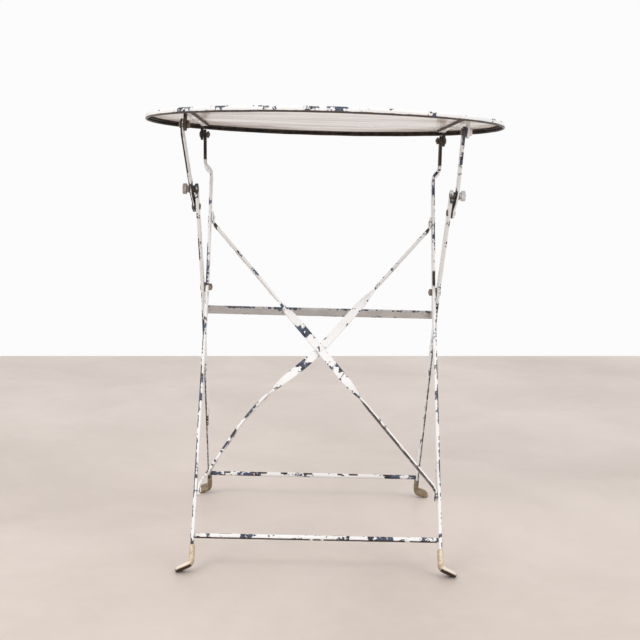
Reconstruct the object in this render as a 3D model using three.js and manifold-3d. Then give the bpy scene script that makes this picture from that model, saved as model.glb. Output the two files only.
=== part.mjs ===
// A folding round bistro table: a thin sheet-steel top on two riveted rails, an inner and an
// outer frame of flat bar that cross at a pivot like scissors, and a pair of short upper links
// with thumb-screws that lock the frames open.
// Units are millimetres. X is to the right, Y is away from the near side, and Z is up.
// The origin is on the floor, under the middle of the top.
import * as THREE from 'three';
import { mergeVertices } from 'three/addons/utils/BufferGeometryUtils.js';
import Module from 'manifold-3d';

// ---------------------------------------------------------------- driving dimensions
const TOP_RADIUS = 300;
const TOP_HEIGHT = 712;
const SHEET = 1.5;
const RIM_DEPTH = 10;
const RIM_CORNER = 4;
const RIM_BEAD = 2;

const PIVOT_HEIGHT = 425;
const EAR_REACH = 145;
const EAR_DROP = 22;
const KNEE_LENGTH = 157;
const LOCK_LENGTH = 32;
const FOOT_BEND_HEIGHT = 13.3;

const INNER_X = 194;
const OUTER_X = 202;
const BAR_WIDTH = 18;
const BAR_THICKNESS = 5;
const LINK_THICKNESS = 4.5;

const RAIL_INSIDE = 209.2;
const RAIL_OUTSIDE = 222.2;
const RAIL_THICKNESS = 4;
const RAIL_LENGTH = 312;
const EAR_WIDTH = 20;

// Above the pivot both frames spread outwards by this much for each unit of length.
const SPLAY = 0.0205;
const JOGGLE_X = 211;
const HINGE_X = 214.5;
const JOGGLE_START = 220;
const JOGGLE_LENGTH = 22;

const BRACE_WIDTH = 14;
const BRACE_THICKNESS = 3.5;
const BRACE_TOP = 133;
const BRACE_BOTTOM = -353;
const BRACE_TAB = 18;

const ROD_RADIUS = 4;
const INNER_ROD_DROP = 426;
const OUTER_ROD_DROP = 434;
const MID_BAR_DROP = 55;
const MID_BAR_HEIGHT = 15.5;
const MID_BAR_THICKNESS = 4;

const SHOE_WIDTH = 21;
const SHOE_THICKNESS = 8.6;
const SHOE_UPRIGHT = 28;
const SHOE_BEND = THREE.MathUtils.degToRad(65);
const SHOE_BEND_RADIUS = 8;
const TOE_LENGTH = 27;
const SHOE_SOCKET = 19;

const PIN_RADIUS = 3.2;
const RIVET_RADIUS = 2.5;
const CLEARANCE = 0.25;
const GAP = 0.3;

// ---------------------------------------------------------------- derived places
const EAR_HEIGHT = TOP_HEIGHT - EAR_DROP;
const LEG_ANGLE = Math.atan2(EAR_REACH, EAR_HEIGHT - PIVOT_HEIGHT);
const LEG_TOP = Math.hypot(EAR_REACH, EAR_HEIGHT - PIVOT_HEIGHT);
const FOOT_BEND = (PIVOT_HEIGHT - FOOT_BEND_HEIGHT) / Math.cos(LEG_ANGLE);
const KNEE_Y = -KNEE_LENGTH * Math.sin(LEG_ANGLE);
const KNEE_Z = PIVOT_HEIGHT + KNEE_LENGTH * Math.cos(LEG_ANGLE);
const LINK_LENGTH = Math.hypot(EAR_REACH + KNEE_Y, EAR_HEIGHT - KNEE_Z);
const LINK_ANGLE = Math.atan2(EAR_REACH + KNEE_Y, EAR_HEIGHT - KNEE_Z);
const RAIL_MIDDLE = (RAIL_INSIDE + RAIL_OUTSIDE) / 2;
const INNER_OUTSIDE = INNER_X + BAR_THICKNESS / 2;
const INNER_INSIDE = INNER_X - BAR_THICKNESS / 2;
const OUTER_OUTSIDE = OUTER_X + BAR_THICKNESS / 2;
const OUTER_INSIDE = OUTER_X - BAR_THICKNESS / 2;
const EAR_INSIDE = RAIL_OUTSIDE - RAIL_THICKNESS;

const SIDES = [['left', -1], ['right', 1]];

// ---------------------------------------------------------------- materials
function paint(color, roughness, metalness) {
  return new THREE.MeshStandardMaterial({ color, roughness, metalness });
}
const whitePaint = paint(0xe4e2dc, 0.55, 0.1);
const topPaint = paint(0xe0ddd4, 0.4, 0.1);
const wornBar = paint(0xc9c6c0, 0.5, 0.3);
const brassYellow = paint(0xcfae78, 0.45, 0.6);
const darkBronze = paint(0x4b443a, 0.5, 0.8);
const knobMetal = paint(0x8d857b, 0.45, 0.8);
const rustyRivet = paint(0x6a4c38, 0.8, 0.4);

// ---------------------------------------------------------------- solids and cuts
const wasm = await Module();
wasm.setup();

// The signed volume of a triangle list: negative when the faces point in.
function signedVolume(positions, index) {
  const corner = [0, 1, 2].map(() => new THREE.Vector3());
  let total = 0;
  for (let i = 0; i < index.length; i += 3) {
    corner.forEach((point, k) => point.fromArray(positions, 3 * index[i + k]));
    total += corner[0].dot(corner[1].cross(corner[2])) / 6;
  }
  return total;
}

// A closed three.js geometry as a solid that can be joined and cut.
function solid(geometry) {
  const bare = geometry.clone();
  bare.deleteAttribute('normal');
  bare.deleteAttribute('uv');
  const merged = mergeVertices(bare, 1e-3);
  const positions = merged.attributes.position.array;
  const index = [];
  for (let i = 0; i < merged.index.count; i += 3) {
    const [a, b, c] = [0, 1, 2].map((k) => merged.index.getX(i + k));
    if (a !== b && b !== c && c !== a) index.push(a, b, c);
  }
  if (signedVolume(positions, index) < 0) index.reverse();
  return new wasm.Manifold(new wasm.Mesh({
    numProp: 3,
    vertProperties: Float32Array.from(positions),
    triVerts: Uint32Array.from(index),
  }));
}

// A solid back as a three.js geometry.
function shape(body) {
  const mesh = body.getMesh();
  const geometry = new THREE.BufferGeometry();
  geometry.setAttribute('position', new THREE.BufferAttribute(mesh.vertProperties, 3));
  geometry.setIndex(new THREE.BufferAttribute(mesh.triVerts, 1));
  geometry.computeVertexNormals();
  return geometry;
}

function cut(body, holes) {
  return holes.reduce((rest, hole) => rest.subtract(hole), body);
}

// A box between two opposite corners.
function block(low, high) {
  const size = high.map((value, k) => value - low[k]);
  const middle = high.map((value, k) => (value + low[k]) / 2);
  return solid(new THREE.BoxGeometry(...size).translate(...middle));
}

// A body turned about the X axis, from a profile of [x, radius] pairs. It starts and ends on
// the axis, and sits at (0, y, z).
function turned(profile, y, z, segments = 16) {
  const points = profile.map(([x, radius]) => new THREE.Vector2(radius, x));
  const geometry = new THREE.LatheGeometry(points, segments);
  return solid(geometry.rotateZ(-Math.PI / 2).translate(0, y, z));
}

// A plain round bar along X, also used as the cutter for a round hole.
function roundBar(radius, x0, x1, y, z, segments = 16) {
  const [low, high] = [Math.min(x0, x1), Math.max(x0, x1)];
  return turned([[low, 0], [low, radius], [high, radius], [high, 0]], y, z, segments);
}

// A hexagonal nut on an axis along X, with a bore for its bolt.
function nut(acrossCorners, x0, x1, y, z, bore) {
  const body = roundBar(acrossCorners / 2, x0, x1, y, z, 6);
  return cut(body, [roundBar(bore, Math.min(x0, x1) - 1, Math.max(x0, x1) + 1, y, z)]);
}

// A bolt or rivet along X with a domed head at one end: from the tip, along the shank to the
// underside of the head at x = seat, and outward over the head.
function domedBolt(shankRadius, tip, seat, headRadius, headHeight, y, z) {
  const out = Math.sign(seat - tip);
  const profile = [[tip, 0], [tip, shankRadius], [seat, shankRadius], [seat, headRadius]];
  for (let k = 1; k <= 4; k += 1) {
    const turn = k * Math.PI / 8;
    profile.push([seat + out * headHeight * (0.3 + 0.7 * Math.sin(turn)), headRadius * Math.cos(turn)]);
  }
  profile[profile.length - 1][1] = 0;
  return turned(profile, y, z);
}

// ---------------------------------------------------------------- flat bar
// A lofted body through rings of points, each ring with the same number of points.
function loft(rings) {
  const count = rings[0].length;
  const last = (rings.length - 1) * count;
  const index = [];
  for (let r = 0; r < last; r += count) {
    for (let k = 0; k < count; k += 1) {
      const [a, b] = [r + k, r + (k + 1) % count];
      index.push(a, b, b + count, a, b + count, a + count);
    }
  }
  for (let k = 1; k + 1 < count; k += 1) {
    index.push(0, k + 1, k);
    index.push(last, last + k, last + k + 1);
  }
  const geometry = new THREE.BufferGeometry();
  const positions = rings.flat().flatMap((point) => point.toArray());
  geometry.setAttribute('position', new THREE.Float32BufferAttribute(positions, 3));
  geometry.setIndex(index);
  return solid(geometry);
}

// One rectangular section of a bar, across its width and through its thickness.
function section(at, across, through, width, thickness) {
  return [[1, 1], [-1, 1], [-1, -1], [1, -1]].map(([w, t]) => at.clone()
    .addScaledVector(across, w * width / 2)
    .addScaledVector(through, t * thickness / 2));
}

// A flat bar that runs along Z and keeps its width along Y. Its centre line is a list of
// [x, z] stations, and a round end narrows the width of the last stations.
function flatBar(line, width, thickness, roundStart, roundEnd) {
  const stations = line.map(([x, z]) => ({ x, z, width }));
  const radius = width / 2;
  const cap = (end, away) => [15, 35, 55, 70, 83].map((degrees) => {
    const turn = THREE.MathUtils.degToRad(degrees);
    return { x: end.x, z: end.z + away * radius * Math.sin(turn), width: width * Math.cos(turn) };
  });
  const up = Math.sign(stations[stations.length - 1].z - stations[0].z);
  const before = roundStart ? cap(stations[0], -up).reverse() : [];
  const after = roundEnd ? cap(stations[stations.length - 1], up) : [];
  const all = [...before, ...stations, ...after];
  const rings = all.map((station, i) => {
    const from = all[Math.max(i - 1, 0)];
    const to = all[Math.min(i + 1, all.length - 1)];
    const along = new THREE.Vector3(to.x - from.x, 0, to.z - from.z).normalize();
    const across = new THREE.Vector3(0, 1, 0);
    const through = new THREE.Vector3().crossVectors(along, across);
    const at = new THREE.Vector3(station.x, 0, station.z);
    return section(at, across, through, station.width, thickness);
  });
  return loft(rings);
}

// Stations of an S-shaped step from x0 to x1 between heights z0 and z1.
function joggle(x0, z0, x1, z1, steps = 8) {
  return Array.from({ length: steps + 1 }, (_, k) => {
    const part = k / steps;
    const ease = part * part * (3 - 2 * part);
    return [x0 + (x1 - x0) * ease, z0 + (z1 - z0) * part];
  });
}

// ---------------------------------------------------------------- nodes
const table = new THREE.Group();
const topGroup = new THREE.Group();
topGroup.position.set(0, 0, TOP_HEIGHT);
const innerFrame = new THREE.Group();
const outerFrame = new THREE.Group();
const frameTilt = new Map([[innerFrame, -LEG_ANGLE], [outerFrame, LEG_ANGLE]]);
frameTilt.forEach((tilt, frame) => {
  frame.position.set(0, 0, PIVOT_HEIGHT);
  frame.rotation.x = tilt;
});
table.add(topGroup, innerFrame, outerFrame);

function add(group, name, material, body) {
  const mesh = new THREE.Mesh(shape(body), material);
  mesh.name = name;
  group.add(mesh);
}

// ---------------------------------------------------------------- the top
// Inside topGroup, z = 0 is the upper surface.
const RIVET_PLACES = [-EAR_REACH + 30, 0, EAR_REACH - 30];

// A round bar along Z.
function uprightBar(radius, x, y, z0, z1, segments = 16) {
  const geometry = new THREE.CylinderGeometry(radius, radius, z1 - z0, segments);
  return solid(geometry.rotateX(Math.PI / 2).translate(x, y, (z0 + z1) / 2));
}

function arc(centreX, centreY, radius, fromDegrees, toDegrees, steps) {
  return Array.from({ length: steps + 1 }, (_, k) => {
    const turn = THREE.MathUtils.degToRad(fromDegrees + (toDegrees - fromDegrees) * k / steps);
    return new THREE.Vector2(centreX + radius * Math.cos(turn), centreY + radius * Math.sin(turn));
  });
}

// The sheet: a flat disc with its edge turned down and rolled into a bead.
function topSheet() {
  const cornerX = TOP_RADIUS - RIM_CORNER;
  const beadX = TOP_RADIUS - RIM_BEAD;
  const beadY = RIM_BEAD - RIM_DEPTH;
  const profile = [
    new THREE.Vector2(0, -SHEET),
    ...arc(cornerX, -RIM_CORNER, RIM_CORNER - SHEET, 90, 0, 3),
    ...arc(beadX, beadY, RIM_BEAD, 120, 360, 6),
    ...arc(cornerX, -RIM_CORNER, RIM_CORNER, 0, 90, 3),
    new THREE.Vector2(0, 0),
  ];
  const disc = solid(new THREE.LatheGeometry(profile, 72).rotateX(Math.PI / 2));
  const holes = [];
  SIDES.forEach(([, side]) => RIVET_PLACES.forEach((y) => {
    holes.push(uprightBar(RIVET_RADIUS + CLEARANCE, side * RAIL_MIDDLE, y, -SHEET - 1, 1));
  }));
  return cut(disc, holes);
}
add(topGroup, 'top_sheet', topPaint, topSheet());

// A rail: a flat strip under the sheet with an ear turned down at each end for a hinge bolt.
function rail(side) {
  const top = -SHEET - GAP;
  const bottom = top - RAIL_THICKNESS;
  const half = RAIL_LENGTH / 2;
  const plate = block([RAIL_INSIDE, -half, bottom], [RAIL_OUTSIDE, half, top]);
  const ear = (y) => {
    const radius = EAR_WIDTH / 2;
    const tongue = block([EAR_INSIDE, y - radius, -EAR_DROP], [RAIL_OUTSIDE, y + radius, top]);
    return tongue.add(roundBar(radius, EAR_INSIDE, RAIL_OUTSIDE, y, -EAR_DROP, 32));
  };
  const holes = RIVET_PLACES.map((y) => (
    uprightBar(RIVET_RADIUS + CLEARANCE, RAIL_MIDDLE, y, bottom - 1, top + 1)));
  [-EAR_REACH, EAR_REACH].forEach((y) => {
    holes.push(roundBar(PIN_RADIUS + CLEARANCE, EAR_INSIDE - 1, RAIL_OUTSIDE + 1, y, -EAR_DROP));
  });
  const whole = plate.add(ear(-EAR_REACH)).add(ear(EAR_REACH));
  return cut(whole, holes).scale([side, 1, 1]);
}

// A rail rivet: flush with the sheet above, and with a domed head under the rail.
function railRivet(side, y) {
  const seat = -SHEET - 2 * GAP - RAIL_THICKNESS;
  const profile = [
    new THREE.Vector2(0, -0.05),
    new THREE.Vector2(RIVET_RADIUS, -0.05),
    new THREE.Vector2(RIVET_RADIUS, seat),
    ...arc(0, 0, 2 * RIVET_RADIUS, 0, -90, 4).map((p) => new THREE.Vector2(p.x, seat + p.y * 0.45)),
  ];
  const geometry = new THREE.LatheGeometry(profile, 16).rotateX(Math.PI / 2);
  return solid(geometry.translate(side * RAIL_MIDDLE, y, 0));
}
SIDES.forEach(([word, side]) => {
  add(topGroup, `rail_${word}`, whitePaint, rail(side));
  ['near', 'middle', 'far'].forEach((place, k) => {
    add(topGroup, `rail_rivet_${word}_${place}`, rustyRivet, railRivet(side, RIVET_PLACES[k]));
  });
});

// ---------------------------------------------------------------- the two frames
// Inside a frame's group, z runs up the legs from the scissor pivot.
function leg(x, line, holes) {
  const bar = flatBar(line, BAR_WIDTH, BAR_THICKNESS, false, true);
  const cutters = holes.map(([z, radius]) => roundBar(radius, x - 40, x + 40, 0, z));
  return cut(bar, cutters);
}

const LEG_BOTTOM = -(FOOT_BEND - SHOE_UPRIGHT + SHOE_SOCKET);
const PIN_HOLE = PIN_RADIUS + CLEARANCE;
const RIVET_HOLE = RIVET_RADIUS + CLEARANCE;

// The screw that pins a shoe to the edge of its leg. outward is +1 or -1 along Y.
const SHOE_SCREW_RADIUS = 1.4;
const SHOE_SCREW_Z = -(FOOT_BEND - SHOE_UPRIGHT + 7);
const SHOE_SCREW_DEPTH = 5;

function shoeScrew(x, outward, radius, grow) {
  const outside = SHOE_WIDTH / 2 + grow;
  const inside = SHOE_WIDTH / 2 - SHOE_SCREW_DEPTH - grow;
  const geometry = new THREE.CylinderGeometry(radius, radius, outside - inside, 12);
  return solid(geometry.translate(x, outward * (outside + inside) / 2, SHOE_SCREW_Z));
}

function innerLeg(side, outward) {
  const spread = INNER_X + SPLAY * JOGGLE_START;
  const line = [[INNER_X, LEG_BOTTOM], [INNER_X, 0]];
  line.push(...joggle(spread, JOGGLE_START, JOGGLE_X, JOGGLE_START + JOGGLE_LENGTH));
  line.push([HINGE_X, LEG_TOP]);
  const body = leg(INNER_X, line, [
    [LEG_TOP, PIN_HOLE],
    [BRACE_TOP, RIVET_HOLE],
    [0, PIN_HOLE],
    [BRACE_BOTTOM, RIVET_HOLE],
    [-INNER_ROD_DROP, RIVET_HOLE],
  ]);
  return cut(body, [shoeScrew(INNER_X, outward, SHOE_SCREW_RADIUS + CLEARANCE, GAP)])
    .scale([side, 1, 1]);
}

function outerLeg(side, outward) {
  const top = KNEE_LENGTH + LOCK_LENGTH;
  const line = [[OUTER_X, LEG_BOTTOM], [OUTER_X, 0], [OUTER_X + SPLAY * top, top]];
  const body = leg(OUTER_X, line, [
    [KNEE_LENGTH + LOCK_LENGTH, PIN_HOLE],
    [KNEE_LENGTH, PIN_HOLE],
    [0, PIN_HOLE],
    [-OUTER_ROD_DROP, RIVET_HOLE],
  ]);
  return cut(body, [shoeScrew(OUTER_X, outward, SHOE_SCREW_RADIUS + CLEARANCE, GAP)])
    .scale([side, 1, 1]);
}

// One section of a shoe: a flattened round, across Y and through the other direction.
function shoeRing(at, through, width, thickness) {
  return Array.from({ length: 12 }, (_, k) => {
    const turn = (k + 0.5) * Math.PI / 6;
    const squareness = 0.72;
    const across = Math.sign(Math.cos(turn)) * Math.abs(Math.cos(turn)) ** squareness;
    const deep = Math.sign(Math.sin(turn)) * Math.abs(Math.sin(turn)) ** squareness;
    return at.clone()
      .addScaledVector(new THREE.Vector3(0, 1, 0), across * width / 2)
      .addScaledVector(through, deep * thickness / 2);
  });
}

// A shoe: it sleeves the leg's end, bends outwards and rests on the floor with its toe.
function shoe(x, side, tilt, outward) {
  const setback = SHOE_BEND_RADIUS * Math.tan(SHOE_BEND / 2);
  const rings = [];
  const put = (turn, px, pz, width, thickness) => {
    const through = new THREE.Vector3(Math.cos(turn), 0, Math.sin(turn));
    rings.push(shoeRing(new THREE.Vector3(px, 0, pz), through, width, thickness));
  };
  put(0, x, -(FOOT_BEND - SHOE_UPRIGHT), SHOE_WIDTH, SHOE_THICKNESS);
  for (let k = 0; k <= 5; k += 1) {
    const turn = SHOE_BEND * k / 5;
    const px = x + SHOE_BEND_RADIUS * (1 - Math.cos(turn));
    const pz = -(FOOT_BEND - setback) - SHOE_BEND_RADIUS * Math.sin(turn);
    put(turn, px, pz, SHOE_WIDTH, SHOE_THICKNESS);
  }
  const toe = (reach, width, thickness) => {
    const px = x + reach * Math.sin(SHOE_BEND);
    put(SHOE_BEND, px, -FOOT_BEND - reach * Math.cos(SHOE_BEND), width, thickness);
  };
  toe(TOE_LENGTH - 9, SHOE_WIDTH, SHOE_THICKNESS * 0.92);
  toe(TOE_LENGTH - 4, SHOE_WIDTH * 0.88, SHOE_THICKNESS * 0.8);
  toe(TOE_LENGTH - 1, SHOE_WIDTH * 0.62, SHOE_THICKNESS * 0.62);
  toe(TOE_LENGTH, SHOE_WIDTH * 0.38, SHOE_THICKNESS * 0.4);
  const socket = block(
    [x - BAR_THICKNESS / 2 - GAP, -BAR_WIDTH / 2 - GAP, LEG_BOTTOM - GAP],
    [x + BAR_THICKNESS / 2 + GAP, BAR_WIDTH / 2 + GAP, 0],
  );
  const floor = new THREE.BoxGeometry(900, 900, 100);
  floor.translate(0, 0, -50 - PIVOT_HEIGHT).rotateX(-tilt);
  return cut(loft(rings), [
    socket,
    solid(floor),
    shoeScrew(x, outward, SHOE_SCREW_RADIUS + CLEARANCE, GAP),
  ]).scale([side, 1, 1]);
}

SIDES.forEach(([word, side]) => {
  const frames = [
    ['inner', innerFrame, INNER_X, 'near', -1, innerLeg],
    ['outer', outerFrame, OUTER_X, 'far', 1, outerLeg],
  ];
  frames.forEach(([which, frame, x, place, outward, makeLeg]) => {
    add(frame, `${which}_leg_${word}`, whitePaint, makeLeg(side, outward));
    add(frame, `foot_${place}_${word}`, brassYellow, shoe(x, side, frameTilt.get(frame), outward));
    const screw = shoeScrew(x, outward, SHOE_SCREW_RADIUS, 0).scale([side, 1, 1]);
    add(frame, `foot_screw_${place}_${word}`, darkBronze, screw);
  });
});

// A round rod between two legs, with its ends shouldered down and peened over outside them.
function bottomRod(inside, outside, drop) {
  const peen = 1.4;
  const half = [
    [outside + GAP + peen, 0],
    [outside + GAP + peen, RIVET_RADIUS],
    [outside + GAP, RIVET_RADIUS * 1.7],
    [outside + GAP, RIVET_RADIUS],
    [inside - GAP, RIVET_RADIUS],
    [inside - GAP, ROD_RADIUS],
  ];
  const mirrored = half.map(([x, radius]) => [-x, radius]);
  return turned([...mirrored, ...half.reverse()], 0, -drop);
}
add(innerFrame, 'inner_bottom_rod', whitePaint, bottomRod(INNER_INSIDE, INNER_OUTSIDE, INNER_ROD_DROP));
add(outerFrame, 'outer_bottom_rod', whitePaint, bottomRod(OUTER_INSIDE, OUTER_OUTSIDE, OUTER_ROD_DROP));

// The middle bar joins the outer legs across their far edges.
const midBarY = BAR_WIDTH / 2 + GAP;
add(outerFrame, 'middle_bar', wornBar, block(
  [-OUTER_OUTSIDE, midBarY, -MID_BAR_DROP - MID_BAR_HEIGHT / 2],
  [OUTER_OUTSIDE, midBarY + MID_BAR_THICKNESS, -MID_BAR_DROP + MID_BAR_HEIGHT / 2],
));

// ---------------------------------------------------------------- the cross brace
// Each brace is a flat strip. Its middle lies in the plane of the frame, each arm is twisted a
// quarter turn about a third of the way out, and its ends are tabs flat against the legs.
const CROSSING_Z = (BRACE_TOP + BRACE_BOTTOM) / 2;
const TAB_X = INNER_INSIDE - 2 * GAP - BRACE_THICKNESS / 2;
const BEND_FROM = 0.985;

// Where an arm's twist begins and ends, as parts of its length, and how far it is bowed.
const PLAIN_ARM = { twistFrom: 0.2, twistTo: 0.42, bow: 0 };
const LATE_ARM = { twistFrom: 0.3, twistTo: 0.54, bow: 0 };
const BOWED_ARM = { twistFrom: 0.2, twistTo: 0.42, bow: 16 };

// Rings from the crossing out to one end. out is +1 for the right arm and -1 for the left arm,
// and slope is +1 for the brace that rises to the right.
function braceArm(slope, offset, out, { twistFrom, twistTo, bow }) {
  const tabStart = BRACE_TAB / 2;
  const rise = (BRACE_TOP - BRACE_BOTTOM) / 2 - tabStart;
  const along = new THREE.Vector3(TAB_X, 0, slope * rise).normalize();
  const inPlane = new THREE.Vector3(-along.z, 0, along.x);
  const normal = new THREE.Vector3(0, 1, 0);
  const isUpper = out * slope > 0;
  const reachX = TAB_X + (isUpper ? SPLAY * (BRACE_TOP - tabStart) : 0);
  const steps = [0, twistFrom / 2];
  for (let k = 0; k <= 5; k += 1) steps.push(twistFrom + (twistTo - twistFrom) * k / 5);
  for (let k = 1; k <= 6; k += 1) steps.push(twistTo + (BEND_FROM - twistTo) * k / 6);
  const rings = steps.map((part) => {
    const twist = THREE.MathUtils.smoothstep(part, twistFrom, twistTo) * Math.PI / 2;
    const settle = 1 - THREE.MathUtils.smoothstep(part, 0.1, twistTo);
    const across = inPlane.clone().multiplyScalar(Math.cos(twist));
    const through = inPlane.clone().multiplyScalar(-Math.sin(twist));
    across.addScaledVector(normal, Math.sin(twist));
    through.addScaledVector(normal, Math.cos(twist));
    const z = CROSSING_Z + out * slope * rise * part;
    const at = new THREE.Vector3(out * reachX * part, offset * settle, z);
    at.addScaledVector(inPlane, bow * Math.sin(Math.PI * part) ** 1.5);
    return section(at, across, through, BRACE_WIDTH, BRACE_THICKNESS);
  });
  [3, BRACE_TAB].forEach((reach) => {
    const z = CROSSING_Z + out * slope * (rise + reach);
    const at = new THREE.Vector3(out * (TAB_X + SPLAY * Math.max(z, 0)), 0, z);
    rings.push(section(at, normal, new THREE.Vector3(slope, 0, 0), BRACE_WIDTH, BRACE_THICKNESS));
  });
  return rings;
}

function brace(slope, offset, leftArm, rightArm) {
  const toRight = braceArm(slope, offset, 1, rightArm);
  const toLeft = braceArm(slope, offset, -1, leftArm);
  const hole = (x, z) => roundBar(RIVET_HOLE, x - 8, x + 8, 0, z);
  const centre = new THREE.CylinderGeometry(RIVET_HOLE, RIVET_HOLE, 30, 16);
  centre.translate(0, 0, CROSSING_Z);
  return cut(loft([...toLeft.reverse(), ...toRight.slice(1)]), [
    hole(TAB_X, slope > 0 ? BRACE_TOP : BRACE_BOTTOM),
    hole(-TAB_X, slope > 0 ? BRACE_BOTTOM : BRACE_TOP),
    solid(centre),
  ]);
}
const braceOffset = BRACE_THICKNESS / 2 + GAP / 2;
add(innerFrame, 'brace_rising_right', whitePaint, brace(1, braceOffset, BOWED_ARM, LATE_ARM));
add(innerFrame, 'brace_rising_left', whitePaint, brace(-1, -braceOffset, PLAIN_ARM, PLAIN_ARM));

// The rivet at the crossing lies along Y, with a round head on each side.
function crossingRivet() {
  const seat = BRACE_THICKNESS + GAP;
  const head = 5;
  const height = 2;
  const near = [
    [0, seat + height],
    [head * 0.6, seat + height * 0.85],
    [head, seat + 0.3],
    [head, seat],
    [RIVET_RADIUS, seat],
  ];
  const far = near.map(([radius, y]) => [radius, -y]).reverse();
  const outline = [...near, ...far].map(([radius, y]) => new THREE.Vector2(radius, y));
  return solid(new THREE.LatheGeometry(outline, 20).translate(0, 0, CROSSING_Z));
}
add(innerFrame, 'brace_rivet', rustyRivet, crossingRivet());

// The rivets at the braces' tabs, through the legs.
SIDES.forEach(([word, side]) => {
  [['upper', BRACE_TOP], ['lower', BRACE_BOTTOM]].forEach(([place, z]) => {
    const spread = SPLAY * Math.max(z, 0);
    const tip = INNER_OUTSIDE + 1.2 + spread;
    const seat = TAB_X - BRACE_THICKNESS / 2 - GAP + spread;
    const body = domedBolt(RIVET_RADIUS, tip, seat, 4.6, 2, 0, z).scale([side, 1, 1]);
    add(innerFrame, `brace_rivet_${place}_${word}`, rustyRivet, body);
  });
});

// ---------------------------------------------------------------- scissor pivots
SIDES.forEach(([word, side]) => {
  const nutOuter = INNER_INSIDE - GAP;
  const nutInner = nutOuter - 4.5;
  const bolt = domedBolt(PIN_RADIUS, nutInner - 1.2, OUTER_OUTSIDE + GAP, 6.5, 1.5, 0, 0);
  const washer = cut(
    roundBar(8, INNER_OUTSIDE + GAP, OUTER_INSIDE - GAP, 0, 0, 24),
    [roundBar(PIN_HOLE, INNER_OUTSIDE - 1, OUTER_INSIDE + 1, 0, 0)],
  );
  add(innerFrame, `pivot_bolt_${word}`, darkBronze, bolt.scale([side, 1, 1]));
  add(innerFrame, `pivot_washer_${word}`, rustyRivet, washer.scale([side, 1, 1]));
  const body = nut(13, nutInner, nutOuter, 0, 0, PIN_HOLE).scale([side, 1, 1]);
  add(innerFrame, `pivot_nut_${word}`, darkBronze, body);
});

// ---------------------------------------------------------------- hinge bolts of the top
// At the far ears the legs hang inside the ears. At the near ears the left link hangs outside
// its ear, and the right link hangs inside its ear with a washer between.
const LINK_TOP_X = new Map([['left', 225], ['right', 214]]);

function headedBolt(tip, seat, y) {
  return domedBolt(PIN_RADIUS, tip, seat, 6, 2.6, y, -EAR_DROP);
}
SIDES.forEach(([word, side]) => {
  const legInside = HINGE_X - BAR_THICKNESS / 2 - 2 * GAP;
  const farBolt = headedBolt(legInside - GAP - 5.5, RAIL_OUTSIDE + GAP, EAR_REACH);
  const farNut = nut(12.5, legInside - GAP - 4, legInside - GAP, EAR_REACH, -EAR_DROP, PIN_HOLE);
  add(topGroup, `hinge_bolt_far_${word}`, darkBronze, farBolt.scale([side, 1, 1]));
  add(topGroup, `hinge_nut_far_${word}`, darkBronze, farNut.scale([side, 1, 1]));
});

const leftLinkOutside = LINK_TOP_X.get('left') + LINK_THICKNESS / 2;
const leftNearBolt = headedBolt(EAR_INSIDE - GAP - 5.2, leftLinkOutside + GAP, -EAR_REACH);
const leftNearNut = nut(12.5, EAR_INSIDE - GAP - 4, EAR_INSIDE - GAP, -EAR_REACH, -EAR_DROP, PIN_HOLE);
add(topGroup, 'hinge_bolt_near_left', darkBronze, leftNearBolt.scale([-1, 1, 1]));
add(topGroup, 'hinge_nut_near_left', darkBronze, leftNearNut.scale([-1, 1, 1]));

const rightLinkInside = LINK_TOP_X.get('right') - LINK_THICKNESS / 2;
const rightLinkOutside = LINK_TOP_X.get('right') + LINK_THICKNESS / 2;
const nutSeat = RAIL_OUTSIDE + GAP;
add(topGroup, 'hinge_bolt_near_right', darkBronze,
  headedBolt(nutSeat + 5.2, rightLinkInside - GAP, -EAR_REACH));
add(topGroup, 'hinge_nut_near_right', whitePaint,
  nut(12.5, nutSeat, nutSeat + 4, -EAR_REACH, -EAR_DROP, PIN_HOLE));
add(topGroup, 'hinge_washer_near_right', rustyRivet, cut(
  roundBar(7.5, rightLinkOutside + GAP, EAR_INSIDE - GAP, -EAR_REACH, -EAR_DROP, 24),
  [roundBar(PIN_HOLE, rightLinkOutside - 1, EAR_INSIDE + 1, -EAR_REACH, -EAR_DROP)],
));

// ---------------------------------------------------------------- upper links and thumb-screws
// Each link group has its origin at the knee and z along the link, up to the near ear.
const KNEE_SPREAD = SPLAY * KNEE_LENGTH;
const LOCK_SPREAD = SPLAY * (KNEE_LENGTH + LOCK_LENGTH);
const LINK_KNEE_X = 208 + KNEE_SPREAD;
const LINK_LOCK_X = 210.9 + LOCK_SPREAD;
const KNOB_RADIUS = 8.5;
const KNOB_THICKNESS = 9;
const KNOB_TEETH = 24;
const SCREW_RADIUS = 3;
const lockSeat = LINK_LOCK_X + LINK_THICKNESS / 2 + 0.9;
const washerEnd = lockSeat + 1.2;

// A knurled thumb-screw: a toothed disc, a collar and a plain shank.
function thumbScrew() {
  const outline = new THREE.Shape();
  for (let k = 0; k < 2 * KNOB_TEETH; k += 1) {
    const turn = k * Math.PI / KNOB_TEETH;
    const radius = k % 2 ? KNOB_RADIUS - 0.7 : KNOB_RADIUS;
    const point = [radius * Math.cos(turn), radius * Math.sin(turn)];
    if (k === 0) outline.moveTo(...point);
    else outline.lineTo(...point);
  }
  const disc = new THREE.ExtrudeGeometry(outline, { depth: KNOB_THICKNESS - 2, bevelEnabled: false });
  disc.rotateY(Math.PI / 2).translate(washerEnd + GAP + 2, 0, LOCK_LENGTH);
  const tip = OUTER_OUTSIDE + LOCK_SPREAD + 0.6;
  const collar = washerEnd + GAP;
  const end = collar + KNOB_THICKNESS;
  const shank = turned([
    [tip, 0], [tip, SCREW_RADIUS], [collar, SCREW_RADIUS], [collar, 5.5], [collar + 3, 5.5],
    [collar + 3, 5], [end + 0.6, 5], [end + 0.6, 0],
  ], 0, LOCK_LENGTH, 24);
  return solid(disc).add(shank);
}

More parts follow.
